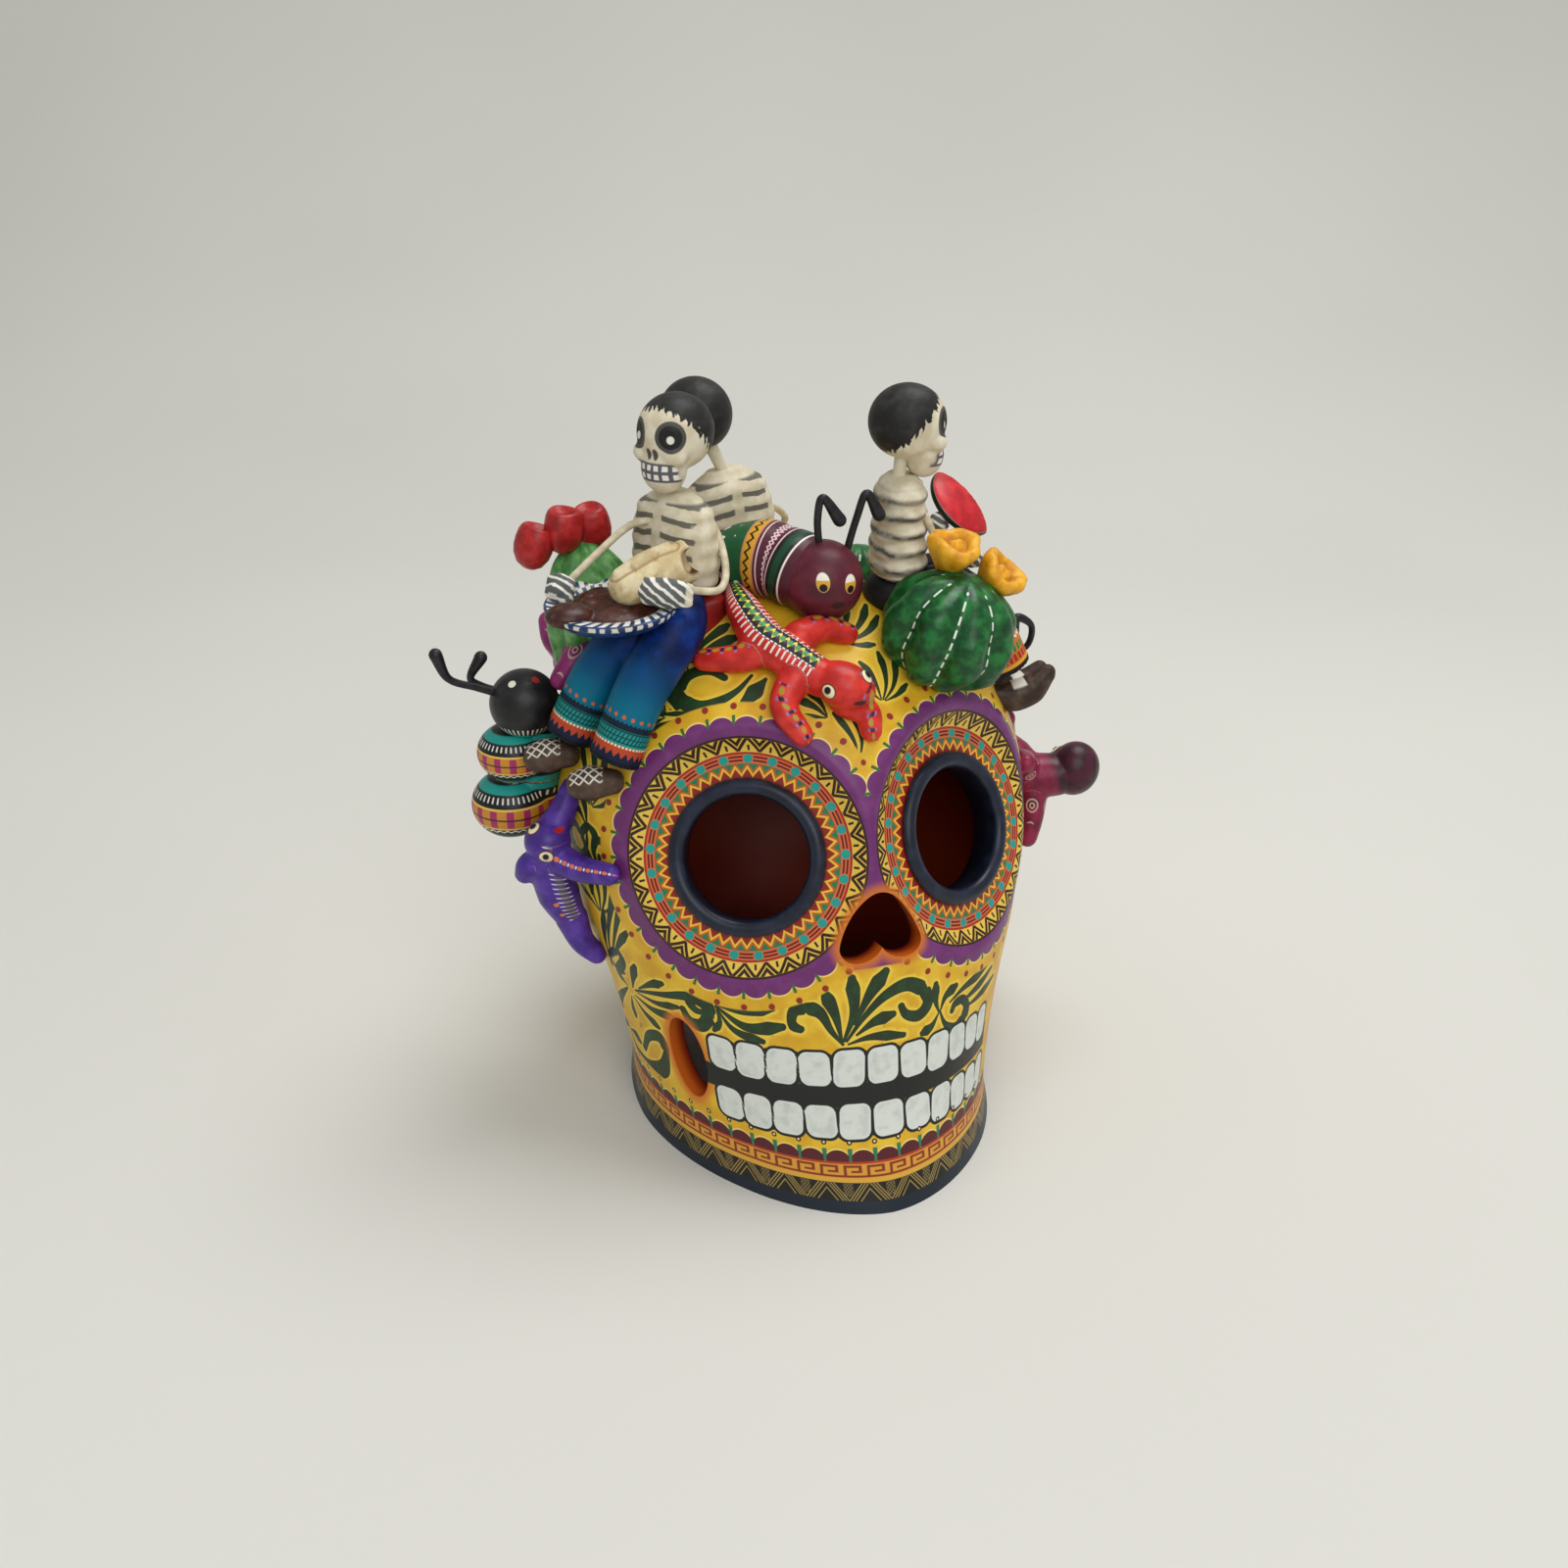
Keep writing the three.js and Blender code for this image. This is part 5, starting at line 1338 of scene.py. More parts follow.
def head_paint():
    paint = bone_ground("skeleton_head_paint")
    x, y, z = paint.triple("local")
    side = abs(x)
    eye = length(side - SOCKET[0], y - SOCKET[1], z - SOCKET[2])
    paint.layer("#4a4946", eye.under(3.9, 0.15))
    paint.layer("#171716", eye.under(2.9, 0.25))
    # A small white spot in each eye socket is a painted highlight
    paint.layer("#e9e6da", length(side - 5.1, y - 8.4, z + 0.2).under(1.0, 0.15))
    paint.layer("#4f4b48", length(side - 1.0, (y - 10.2) * 0.5, (z + 4.2) * 0.6).under(0.95, 0.15))
    grin = z.within(-10.9, -6.2, 0.2) * y.over(4.6, 0.5) * side.under(5.8, 0.2)
    paint.layer("#5b5960", grin)
    row = abs(z + 8.5)
    tooth_faces = (x + paint.noise(2.0) * 0.8).fold(2.1).over(0.42, 0.1) * row.within(0.42, 1.75, 0.1)
    paint.layer("#e9e6dc", grin * tooth_faces)
    locks = (x.math("ARCTAN2", y) * 9.0 + paint.noise(4.0) * 5.0).fold(2.0) * 1.7
    ragged = locks + paint.noise(1.0).over(0.5, 0.2) * 0.9
    hair = y * -0.72 + z * 0.69 + ragged
    paint.layer("#1c1b1a", hair.over(0.6, 0.15))
    paint.layer("#33312e", hair.over(1.2, 0.6) * paint.noise(3.0).over(0.56, 0.12) * 0.7)
    return paint.done(roughness=0.55, coat=0.05, bump=0.2, grain=1.4)


head_material = head_paint()
print("head paint nodes:", len(head_material.node_tree.nodes))


# %% Chest, hand and wire paints
def carved_paint():
    paint = bone_ground("carved_chest_paint")
    z = paint.triple("local")[2]
    groove = (z + paint.noise(7.0) * 2.4 + 1.05).fold(RIB_PITCH)
    ribbed = z.within(2.0, 25.0, 0.5)
    paint.layer("#958f80", groove.over(1.4, 0.4) * ribbed * 0.85)
    paint.layer("#57534b", groove.over(1.85, 0.2) * ribbed * paint.noise(5.0).over(0.44, 0.1))
    return paint.done(roughness=0.6, coat=0.0, bump=0.3, grain=1.4)


def torso_paint():
    paint = bone_ground("skeleton_chest_paint")
    x, _, z = paint.triple("local")
    row = (z + abs(x) * 0.18 + paint.noise(6.0) * 1.8).fold(4.1)
    stroke = row.over(1.3, 0.12) * z.within(3.0, 24.8, 0.4)
    gap_mid = abs(x).over(1.4, 0.3) * (abs(x) + paint.noise(4.0) * 4.0).under(11.8, 0.3)
    paint.layer("#6d695f", stroke * gap_mid)
    return paint.done(roughness=0.6, coat=0.0, bump=0.3, grain=1.4)


def plain_bone(name):
    return bone_ground(name).done(roughness=0.58, coat=0.0, bump=0.22, grain=1.2)


def hand_paint():
    paint = bone_ground("skeleton_hand_paint")
    x, _, z = paint.triple("local")
    paint.layer("#5d6061", x.under(5.6, 0.3))
    paint.layer("#ece9dd", (z * 0.8 + x * 0.55 + paint.noise(3.0) * 1.6).fold(1.9).under(0.34, 0.12))
    return paint.done(roughness=0.6, coat=0.0, bump=0.2)


def wire_paint():
    paint = Paint("arm_wire_paint", "#d3c9ab")
    paint.brushed("#b5a987", "#e5ddc6", 2.5)
    return paint.done(roughness=0.5, coat=0.05, bump=0.2, grain=0.8)


torso_material, carved_material = torso_paint(), carved_paint()
neck_material, hand_material, wire_material = plain_bone("neck_paint"), hand_paint(), wire_paint()
print("paints so far:", len(bpy.data.materials))

# %% [markdown]
# ### Cloth and shoe paint
# Trouser legs are painted in bands that follow the leg. Bands by height would cut straight across a bent
# leg. The number used is the distance left to the hem, so the same bands wrap both legs however they bend.

# %% Trouser paints
LEG_GIRTH, SHOE_GIRTH = 6.8, 4.0


def trouser_paint(name, ground, dark, light, hems):
    paint = Paint(name, ground)
    paint.brushed(dark, light, 5.0)
    togo, turn = paint.number("togo"), paint.number("turn")
    hems(paint, togo, turn * LEG_GIRTH)
    return paint.done(roughness=0.5, coat=0.03, bump=0.15, shine=0.15)


def blue_hems(paint, togo, arc):
    paint.layer("#04527c", togo.under(25.0, 8.0))
    paint.layer("#066a86", togo.under(17.5, 4.0))
    paint.layer("#d0642c", length(arc.fold(2.4) - 1.2, togo - 12.6).under(0.5))
    paint.layer("#122433", (togo - 10.6).under(abs(arc.fold(2.4) - 0.6) * 0.9 + 0.4) * togo.over(9.0))
    paint.layer("#1d8f8a", togo.under(9.6))
    paint.layer("#123b46", abs(togo - 9.3).under(0.2) + togo.fold(1.3).under(0.14) * togo.under(9.0))
    paint.layer("#0e3038", (arc + togo * 0.3).fold(1.1).under(0.17) * togo.within(6.2, 9.0))
    paint.layer("#b8482a", togo.under(5.6))
    paint.layer("#efe0c0", abs(togo - 5.4).under(0.28) * arc.fold(1.0).over(0.2))
    paint.layer("#15203a", togo.under(arc.fold(2.0) * 1.6 + 2.4))
    paint.layer("#10131f", togo.under(1.4))


def black_hems(paint, togo, arc):
    paint.layer("#c8742a", togo.under(12.4))
    paint.layer("#2a1713", abs(togo - 11.0 - arc.fold(2.4) * 0.8).under(0.4))
    paint.layer("#e9e2d0", abs(togo - 8.6 - arc.fold(1.8) * 0.9).under(0.3))
    paint.layer("#2f7a45", togo.within(5.4, 7.4) * arc.fold(1.6).over(0.3))
    paint.layer("#a92a20", togo.within(3.0, 5.0) * arc.fold(1.6).under(0.55))
    paint.layer("#d9a530", togo.within(1.8, 2.6))
    paint.layer("#171515", togo.under(1.6))


def red_hems(paint, togo, arc):
    paint.layer("#c99a34", togo.under(9.0))
    paint.layer("#5e1a16", abs(togo - 6.6 - arc.fold(2.2) * 1.1).under(0.4))
    paint.layer("#2b2018", togo.within(2.2, 3.4))
    paint.layer("#8d2a20", togo.under(2.0))


trouser_materials = {
    "left": trouser_paint("blue_trouser_paint", "#04205e", "#031136", "#073a8c", blue_hems),
    "right": trouser_paint("black_trouser_paint", "#1d1c1f", "#121214", "#2b2a2f", black_hems),
    "back": trouser_paint("red_trouser_paint", "#8d2420", "#6a1815", "#a5322a", red_hems),
}
print("trouser paints:", len(trouser_materials))


# %% Shoe paints
def shoe_paint(name, laced):
    paint = Paint(name, "#4d3a2c" if laced else "#3b281d")
    paint.brushed("#3a2a20" if laced else "#291a12", "#64503f", 3.0)
    along, turn = paint.number("along"), paint.number("turn")
    arc = turn * SHOE_GIRTH
    if laced:
        strap = along.within(2.0, 10.5, 0.2) * abs(arc).under(5.2, 0.3)
        paint.layer("#d9d4c6", strap * abs(along.fold(2.6) - abs(arc).fold(2.6)).under(0.3, 0.12))
    else:
        patch = along.within(4.6, 9.4, 0.3) * (abs(arc) + paint.noise(600.0, 2.0) * 3.0).under(4.6, 0.4)
        paint.layer("#ded9cc", patch)
    paint.layer("#2a1e17", abs(arc).over(9.8, 0.5))
    return paint.done(roughness=0.55, coat=0.08, bump=0.2)


laced_shoe = shoe_paint("laced_shoe_paint", True)
shoe_materials = {"left": laced_shoe, "right": shoe_paint("patched_shoe_paint", False), "back": laced_shoe}
print("paints so far:", len(bpy.data.materials))


# %% Heads and chests
def skeleton_head(at, turn):
    parts = [ball(at, HEAD_RADII, turn), ball(in_frame(JAW_CENTRE, at, turn), JAW_RADII, turn)]
    for s in (-1, 1):
        parts.append(ball(in_frame((s * 4.6, 6.2, -4.6), at, turn), (3.4, 3, 2.6), turn, 24))
    head = pressed(parts, 0.42, 10)
    for s in (-1, 1):
        centre = in_frame((s * (SOCKET[0] + 1.3), SOCKET[1] + 3.0, SOCKET[2]), at, turn)
        cut(head, ball(centre, (3.4, 3.6, 3.8), turn, 32))
    modify(head, "SMOOTH", factor=0.5, iterations=4)
    bpy.ops.object.shade_smooth()
    own_frame(head, at, turn)
    return head


def skeleton_torso(at, turn, ribs):
    rows = 60
    t = np.linspace(0, 1, rows)
    shape = CARVED_SHAPE if ribs > DEEP_RIBS else TORSO_SHAPE
    wide = np.interp(t, shape[:, 1], shape[:, 0])
    wide = np.convolve(np.pad(wide, 4, "edge"), np.ones(9) / 9, "valid")
    wave = 1 - ribs * (0.5 - 0.5 * np.cos(t * TORSO_HEIGHT / RIB_PITCH * tau)) * (t > 0.1) * (t < 0.92)
    side = zip(wide * wave * TORSO_HALF_WIDTH, t * TORSO_HEIGHT)
    torso = turned([(0, 0), *side, (0, TORSO_HEIGHT)], 72)
    for vertex in torso.data.vertices:
        inner = sin(pi * min(max(vertex.co.z / MM / TORSO_HEIGHT, 0), 1))
        vertex.co.z += ribs * 9 * MM * inner * sin(2 * np.arctan2(vertex.co.y, vertex.co.x) + 0.6)
    torso.scale = (1, TORSO_DEPTH, 1)
    settle(torso)
    stand(torso, at, turn)
    own_frame(torso, at, turn)
    return torso


print("rib pitch:", RIB_PITCH, "mm")


# %% Necks, hands, trousers and shoes
def neck_path(low, high):
    low, high = Vector(low), Vector(high)
    bite = (high - low).normalized() * NECK_BITE
    return (low - bite, high + bite)


def skeleton_hand(at, radii, turn):
    parts = [ball(at, Vector(radii) * 0.86, turn, 32)]
    long_way = radii.index(max(radii))
    cross_way = 0 if long_way == 2 else 2
    for k in (-1.5, -0.5, 0.5, 1.5):
        ends = []
        for t in (-0.55, 0.25, 0.86):
            point = [0, 0, 0]
            point[long_way] = t * radii[long_way]
            point[cross_way] = k * radii[cross_way] * 0.42 * (1.1 - abs(t) * 0.3)
            ends.append(in_frame(point, at, turn))
        parts.append(coil(ends, (radii[1] * 0.42, radii[1] * 0.46, radii[1] * 0.34), 16))
    hand = pressed(parts, 0.36, 4)
    own_frame(hand, at, turn)
    return hand


def skeleton_trousers(plan):
    parts = [ball(plan["hips"][0], plan["hips"][1], (0, 0, 0), 36)]
    parts += [coil(path, LEG_RADII, flat_end=True) for path in plan["legs"]]
    trousers = pressed(parts, 0.5, 5)
    follow(trousers, plan["legs"], [LEG_RADII] * len(plan["legs"]), (0, -0.4, 1))
    return trousers


def skeleton_shoe(path, radii):
    sole = [Vector(p) - Vector((0, 0, SOLE)) for p in path]
    shoe = pressed([coil(path, radii), coil(sole, radii)], 0.42, 6)
    follow(shoe, [path], [radii], (0, 0, 1))
    return shoe


print("sole thickness:", SOLE, "mm")


# %% Three skeletons
def skeleton(label, plan):
    name = label + "_skeleton_"
    for side, path in plan["arms"].items():
        dress(coil(path, (WIRE_RADIUS, WIRE_RADIUS)), name + side + "_arm", wire_material)
    dress(coil(neck_path(*plan["neck"]), (NECK_RADIUS, NECK_RADIUS), 12), name + "neck", neck_material)
    for side, hand in plan["hands"].items():
        dress(skeleton_hand(*hand), name + side + "_hand", hand_material)
    dress(skeleton_head(plan["head"], plan["head_turn"]), name + "head", head_material)
    chest_material = carved_material if plan["ribs"] > DEEP_RIBS else torso_material
    dress(skeleton_torso(plan["seat"], plan["torso_turn"], plan["ribs"]), name + "torso", chest_material)
    dress(skeleton_trousers(plan), name + "trousers", trouser_materials[label])
    for side, path in plan["shoes"].items():
        radii = TOE_RADII if label == "right" else SHOE_RADII
        dress(skeleton_shoe(path, radii), name + side + "_shoe", shoe_materials[label])


for label, plan in (("left", LEFT_SKELETON), ("right", RIGHT_SKELETON), ("back", BACK_SKELETON)):
    skeleton(label, plan)

# %% [markdown]
# ## The stool, the meal and the melon
# The left skeleton sits on a red block with a gold band and eats from a blue plate: a mound of dark sauce
# and a rolled flatbread. The right one bites a slice of melon. The block and the plate are turned forms.
# The sauce is balls pressed into a mound, and the flatbread is a coil with a second, thinner coil for its
# folded edge.

# %% Stool
STOOL_CENTRE, STOOL_RADIUS, STOOL_HEIGHT = (-32.5, 18.5, 148.6), 12.6, 20.0
STOOL_PROFILE = (
    (0, -STOOL_HEIGHT), (11.8, -STOOL_HEIGHT), (12.5, -19.4), (STOOL_RADIUS, -18), (STOOL_RADIUS, -12),
    (12.5, -6), (12.4, -2.6), (12, -1.2), (11.2, -0.3), (9.6, 0), (0, 0),
)
stool = turned(STOOL_PROFILE, 72)
stand(stool, STOOL_CENTRE)
own_frame(stool, STOOL_CENTRE)
stool_paint = Paint("stool_paint", "#93201c")
stool_paint.brushed("#731612", "#ad2c25", 5.0)
x, y, z = stool_paint.triple("local")
stool_arc = y.math("ARCTAN2", x) * STOOL_RADIUS
BAND_LOW, BAND_HIGH, BAND_MIDDLE = -15.2, -10.6, -13.0
stool_paint.layer("#c7852f", z.within(BAND_LOW - 0.2, BAND_HIGH + 0.2))
band_wave = abs(z - BAND_MIDDLE - (stool_arc.fold(3.2) - 0.8) * 1.4).under(0.34)
stool_paint.layer("#6d2a16", band_wave * z.within(BAND_LOW, BAND_HIGH))
stool_paint.layer("#e4c275", abs(z - BAND_LOW).under(0.22) + abs(z - BAND_HIGH).under(0.22))
stool_paint.layer("#5a5a52", z.under(-15.6))
dress(stool, "red_stool", stool_paint.done(roughness=0.45, coat=0.06))

# %% Plate
PLATE_CENTRE, PLATE_TILT, PLATE_LIP = (-55.2, 5.5, 147.2), (0.06, -0.04, 0), 16.0
PLATE_PROFILE = (
    (0, 0), (9.8, 0), (12, 0.3), (14.2, 1.1), (15.8, 2.3), (16.7, 3.5), (17, 4.3), (16.7, 4.7), (16.2, 4.8),
    (13, 4.5), (12.2, 3.8), (9, 2), (6, 1.4), (0, 1.4),
)
plate = turned(PLATE_PROFILE, 96)
stand(plate, PLATE_CENTRE, PLATE_TILT)
own_frame(plate, PLATE_CENTRE, PLATE_TILT)
plate_paint = Paint("plate_paint", "#16305f")
plate_paint.brushed("#0e1f44", "#274a86", 4.0)
x, y, z = plate_paint.triple("local")
LIP_MARK = 2.9
plate_r, plate_arc = length(x, y), y.math("ARCTAN2", x) * PLATE_LIP
on_lip = plate_r.within(12.9, 16.3, 0.2) * z.over(4.0, 0.2)
plate_paint.layer("#e8e6dc", on_lip * (plate_arc + plate_r * 0.5).fold(LIP_MARK).under(0.8, 0.15))
at_side = z.within(3.3, 4.5, 0.15) * plate_r.over(11.5)
blots = (plate_arc + plate_paint.noise(5.0) * 4.0).fold(LIP_MARK).under(0.75, 0.12)
plate_paint.layer("#dcd8c8", at_side * blots)
dress(plate, "plate", plate_paint.done(roughness=0.35, coat=0.1))

# %% Sauce
SAUCE_LUMPS, LUMP_TURN = 7, 2.4
sauce_parts = [ball(in_frame((0, 0, 3), PLATE_CENTRE, PLATE_TILT), (12.4, 11.8, 3.0), PLATE_TILT, 48),
               ball(in_frame((-12, -5, 4.6), PLATE_CENTRE, PLATE_TILT), (6, 5, 2.9), PLATE_TILT, 32)]
for k in range(SAUCE_LUMPS):
    at = in_frame((6.6 * cos(k * LUMP_TURN), 6.2 * sin(k * LUMP_TURN), 4.4), PLATE_CENTRE, PLATE_TILT)
    sauce_parts.append(ball(at, (3.6, 2.6, 1.9), (0, 0, k), 20))
sauce = pressed(sauce_parts, 0.45, 3)
sauce_paint = Paint("sauce_paint", "#43211a")
sauce_paint.brushed("#2b130f", "#5e3427", 3.0)
sauce_paint.layer("#8a6a55", sauce_paint.noise(1.6, 5.0).over(0.66, 0.04) * 0.6)
dress(sauce, "mole_sauce", sauce_paint.done(roughness=0.35, coat=0.1, bump=0.5, grain=1.8))

# %% Rolled flatbread
TACO_ROLL = ((-52, 1.5, 156.8), (-44.3, 2, 159.2), (-36, 3.4, 161.4))
TACO_FOLD = ((-54.6, 0.6, 160.2), (-48.6, 0.8, 163.2), (-41, 2, 165.4))
TACO_MOUTH, TACO_FILLING = ((-38, 2.6, 161.2), (-34.4, -5, 164.2)), (-37, 0.4, 162)
roll = coil(TACO_ROLL, (5, 5.8, 5.4), flat_end=True)
folded_edge = coil(TACO_FOLD, (1.5, 1.9, 1.7), flat_end=True)
taco = pressed([roll, folded_edge], 0.4, 2)
cut(taco, pressed([coil(TACO_MOUTH, (2.9, 3.4), 24)], 0.4, 2))
pick(taco)
bpy.ops.object.shade_smooth_by_angle(angle=0.8)
fold_line = smooth_path(TACO_FOLD)
write(taco, "fold_gap", np.linalg.norm(corners(taco)[:, None] - fold_line[None], axis=2).min(1))
write(taco, "filling", np.linalg.norm(corners(taco) - np.array(TACO_FILLING), axis=1))
taco_paint = Paint("flatbread_paint", "#d9c79c")
taco_paint.brushed("#b99f6c", "#e8dcbd", 3.5)
taco_paint.layer("#8c6a3e", taco_paint.noise(2.2, 5.0).over(0.64, 0.05) * 0.5)
taco_paint.layer("#9a7a4a", taco_paint.number("fold_gap").within(1.9, 2.5, 0.25) * 0.8)
taco_paint.layer("#5a3023", taco_paint.number("filling").under(3.6, 0.4))
dress(taco, "rolled_taco", taco_paint.done(roughness=0.6, coat=0.0, bump=0.35, grain=1.5))

# %% [markdown]
# ### The melon slice
# The slice is half of a thin lens. A cylinder cut in two would have sharp edges, so a ball is flattened,
# its upper half is pushed down to a shallow curve, and a remesh rounds the corner.

# %% Melon slice
MELON_CENTRE, MELON_TURN = (40.9, 11, 168.3), (0.118, 0.768, -0.8)
MELON_RADIUS, MELON_THICKNESS, MELON_BULGE = 10.4, 6.0, 1.6
clear()
bpy.ops.mesh.primitive_uv_sphere_add(segments=96, ring_count=48, radius=MELON_RADIUS * MM)
melon = bpy.context.object
for vertex in melon.data.vertices:
    vertex.co.z *= MELON_THICKNESS / 2 / MELON_RADIUS
    if vertex.co.y > 0:
        vertex.co.y = MELON_BULGE * MM * (1 - (vertex.co.x / MELON_RADIUS / MM) ** 2)
stand(melon, MELON_CENTRE, MELON_TURN)
melon = pressed([melon], 0.36, 5)
own_frame(melon, MELON_CENTRE, MELON_TURN)
melon_paint = Paint("melon_paint", "#c6202a")
melon_paint.brushed("#a3161f", "#d8363a", 4.0)
x, y, z = melon_paint.triple("local")
melon_r = length(x, y)
rind = z.under(0.7, 0.12) * y.under(0.3)
PITH_WIDTH, RIND_WIDTH = 1.8, 1.2
melon_paint.layer("#e7e2cf", rind * melon_r.over(MELON_RADIUS - PITH_WIDTH, 0.12))
melon_paint.layer("#141f17", rind * melon_r.over(MELON_RADIUS - RIND_WIDTH, 0.12))
dress(melon, "watermelon_slice", melon_paint.done(roughness=0.4, coat=0.08))

# %% [markdown]
# ## Ringed bugs
# Each bug is a ball head on a row of fat rings, with two bent wires for antennae. The rings carry painted
# bands: the top bug's follow the distance along its body, and the other two follow each bead's own height.
# Rings stacked as tori would show gaps, so a coil with a swelling radius, or beads on a core, is pressed
# smooth.

# %% Bug plans
ANTENNA_RADII = (1, 0.95, 1, 1.75)
TOP_BUG = {
    "head": (-1.6, 0.5, 154), "radius": 10.5, "beads": (),
    "antennae": {"right": ((-2.2, 0.8, 159.5), (-3.4, 0.3, 170.5), (-2.4, 0, 175.6), (2.4, 0, 169.6)),
                 "left": ((4.2, 0.8, 158.5), (7, 0.3, 169.5), (9.4, 0, 175.8), (13, 0, 170.2))},
    "body": ((-4, 3, 154.6), (-9, 10, 156.4), (-15, 17, 156), (-18.5, 22.5, 151)),
    "girth": (9.4, 10.2, 9.6, 10.4, 9.6, 10.3, 9.6),
}
LEFT_BUG = {
    "head": (-75.7, 24, 119.6), "radius": 9.2,
    "beads": (((-79, 26, 105.4), (9.8, 9.8, 8)), ((-80.3, 28, 89.4), (10.7, 10.7, 9.4))),
    "antennae": {"front": ((-80, 24, 122), (-88, 24, 125.4), (-94.8, 24, 128.6), (-97.6, 24, 135.4)),
                 "back": ((-79, 28.5, 121), (-86, 29, 123.8), (-88.6, 29, 126), (-85.6, 29, 131.6))},
    "body": ((-70, 25, 116), (-72, 27, 103), (-73, 29, 88)), "girth": (6, 7, 6),
}
RIGHT_BUG = {
    "head": (62.4, 46, 112), "radius": 9.2,
    "beads": (((67.4, 47, 98), (9.2, 9.2, 8)), ((69.4, 48, 83), (9.6, 9.6, 9))),
    "antennae": {"front": ((66.6, 42, 113), (78, 39, 113.6), (78.2, 36.4, 121.6), (73, 36, 124.6),
                           (72.2, 36, 119.6)),
                 "back": ((64, 49, 117), (66, 53, 124), (72.6, 55, 122), (69, 55.5, 115))},
    "body": ((57, 46, 110), (61, 47, 97), (62, 48, 82)), "girth": (6, 7, 6),
}
print("bead counts:", [len(plan["beads"]) for plan in (TOP_BUG, LEFT_BUG, RIGHT_BUG)])


# %% Paints of the top bug
def antenna_paint():
    paint = Paint("antenna_paint", "#1b1a1c")
    paint.brushed("#111113", "#2e2d31", 2.0)
    return paint.done(roughness=0.4, coat=0.1, bump=0.1, grain=0.8)


def top_head_paint():
    paint = Paint("top_bug_head_paint", "#5d1c2c")
    paint.brushed("#451320", "#71283a", 5.0)
    x, y, z = paint.triple("local")
    front = y.under(-4.0, 0.3)
    for ex, ez in ((-3.3, 2.6), (4.0, 1.6)):
        eye = length(x - ex, (z - ez) * 0.68).under(1.62, 0.12) * front
        paint.layer("#efe8da", eye)
        paint.layer("#d9a128", eye * (z - ez).under(0.5, 0.12))
        paint.layer("#160d0d", length(x - ex, z - ez + 1.3).under(1.0, 0.12) * front)
    paint.layer("#2a0a10", length((x - 0.7) * 0.55, z + 3.6).under(0.95, 0.2) * front)
    return paint.done(roughness=0.45, coat=0.06)


def top_body_paint():
    paint = Paint("top_bug_body_paint", "#4f1e2c")
    along, arc = paint.number("along") + 5.5, paint.number("turn") * 10.0
    paint.layer("#171a19", along.within(8.6, 12.8))
    paint.layer("#16442d", along.within(9.6, 11.6, 0.4))
    paint.layer("#efe6dc", abs(along - 8.5).under(0.26))
    for sway in (0.0, 1.5):
        wave = (arc + sway).fold(3.0) * 0.75
        paint.layer("#e3bfc4", abs(along - 14.0 - wave).under(0.22, 0.1))
    paint.layer("#e3bfc4", abs(along - 12.9).under(0.18, 0.08) + abs(along - 17.0).under(0.18, 0.08))
    paint.layer("#d7a02a", along.within(18.0, 21.4))
    paint.layer("#231410", abs(along - 19.2 - arc.fold(2.6) * 1.0).under(0.4, 0.12))
    paint.layer("#c98a5a", abs(along - 18.1).under(0.25) + abs(along - 21.3).under(0.25))
    paint.layer("#1c5a34", along.within(21.6, 25.4))
    paint.layer("#eeeae0", length(arc.fold(4.6) - 2.3, along - 24.6).under(0.8))
    for sway in (0.0, 1.5):
        wave = (arc + sway).fold(3.0) * 0.7
        paint.layer("#d9b3b8", abs(along - 26.6 - wave).under(0.22, 0.1))
    return paint.done(roughness=0.42, coat=0.08)


antenna_material = antenna_paint()
bug_materials = {"top": (top_head_paint(), top_body_paint())}
print("top bug paints:", len(bug_materials["top"]))


# %% Paints of the beaded bugs
def bead_head_paint(name, ground, dark, light, rim):
    paint = Paint(name, ground)
    paint.brushed(dark, light, 4.0)
    x, y, z = paint.triple("local")
    arc = y.math("ARCTAN2", x) * 9.0
    paint.layer("#e9e4d8", z.within(-6.6, -4.6, 0.1) * arc.fold(1.5).under(0.24, 0.1))
    paint.layer(rim, z.under(-6.8))
    paint.layer("#a3222a", length(x - 2.6, y + 4.0, z - 7.8).under(1.1, 0.15))
    paint.layer("#e8e2cc", length(x + 3.6, y + 4.2, z - 7.4).under(1.05, 0.15))
    return paint.done(roughness=0.42, coat=0.08)


def bead_body_paint(name, ground, rim, warm, hot):
    paint = Paint(name, ground)
    x, y, z = paint.triple("bead")
    arc = y.math("ARCTAN2", x) * 10.0
    paint.layer(rim, z.within(0.62, 0.82, 0.02))
    paint.layer("#ebe6da", z.within(0.4, 0.56, 0.02) * arc.fold(1.5).under(0.24, 0.1))
    paint.layer(warm, z.within(-0.36, 0.22, 0.02))
    paint.layer(hot, z.within(-0.34, 0.2, 0.02) * arc.fold(4.4).under(0.95, 0.1))
    paint.layer("#e9c15a", abs(z - 0.24).under(0.03, 0.01) + abs(z + 0.38).under(0.03, 0.01))
    paint.layer("#2a2320", abs(z + 0.07).under(0.025, 0.01) * z.within(-0.36, 0.22, 0.02))
    paint.layer("#ebe6da", abs(z + 0.52 - arc.fold(2.2) * 0.07).under(0.025, 0.01))
    paint.layer(rim, z.under(-0.74, 0.02))
    return paint.done(roughness=0.42, coat=0.08)


bug_materials["left"] = (
    bead_head_paint("left_bug_head_paint", "#1c1b1c", "#121213", "#2f2e30", "#1f9a8f"),
    bead_body_paint("left_bug_body_paint", "#171819", "#1f9a8f", "#c98a2a", "#a72a63"),
)
bug_materials["right"] = (
    bead_head_paint("right_bug_head_paint", "#47202a", "#33151d", "#5a2a36", "#1f8a86"),
    bead_body_paint("right_bug_body_paint", "#2a1a20", "#1f8a86", "#b8762a", "#8a2450"),
)
print("bugs painted:", len(bug_materials))


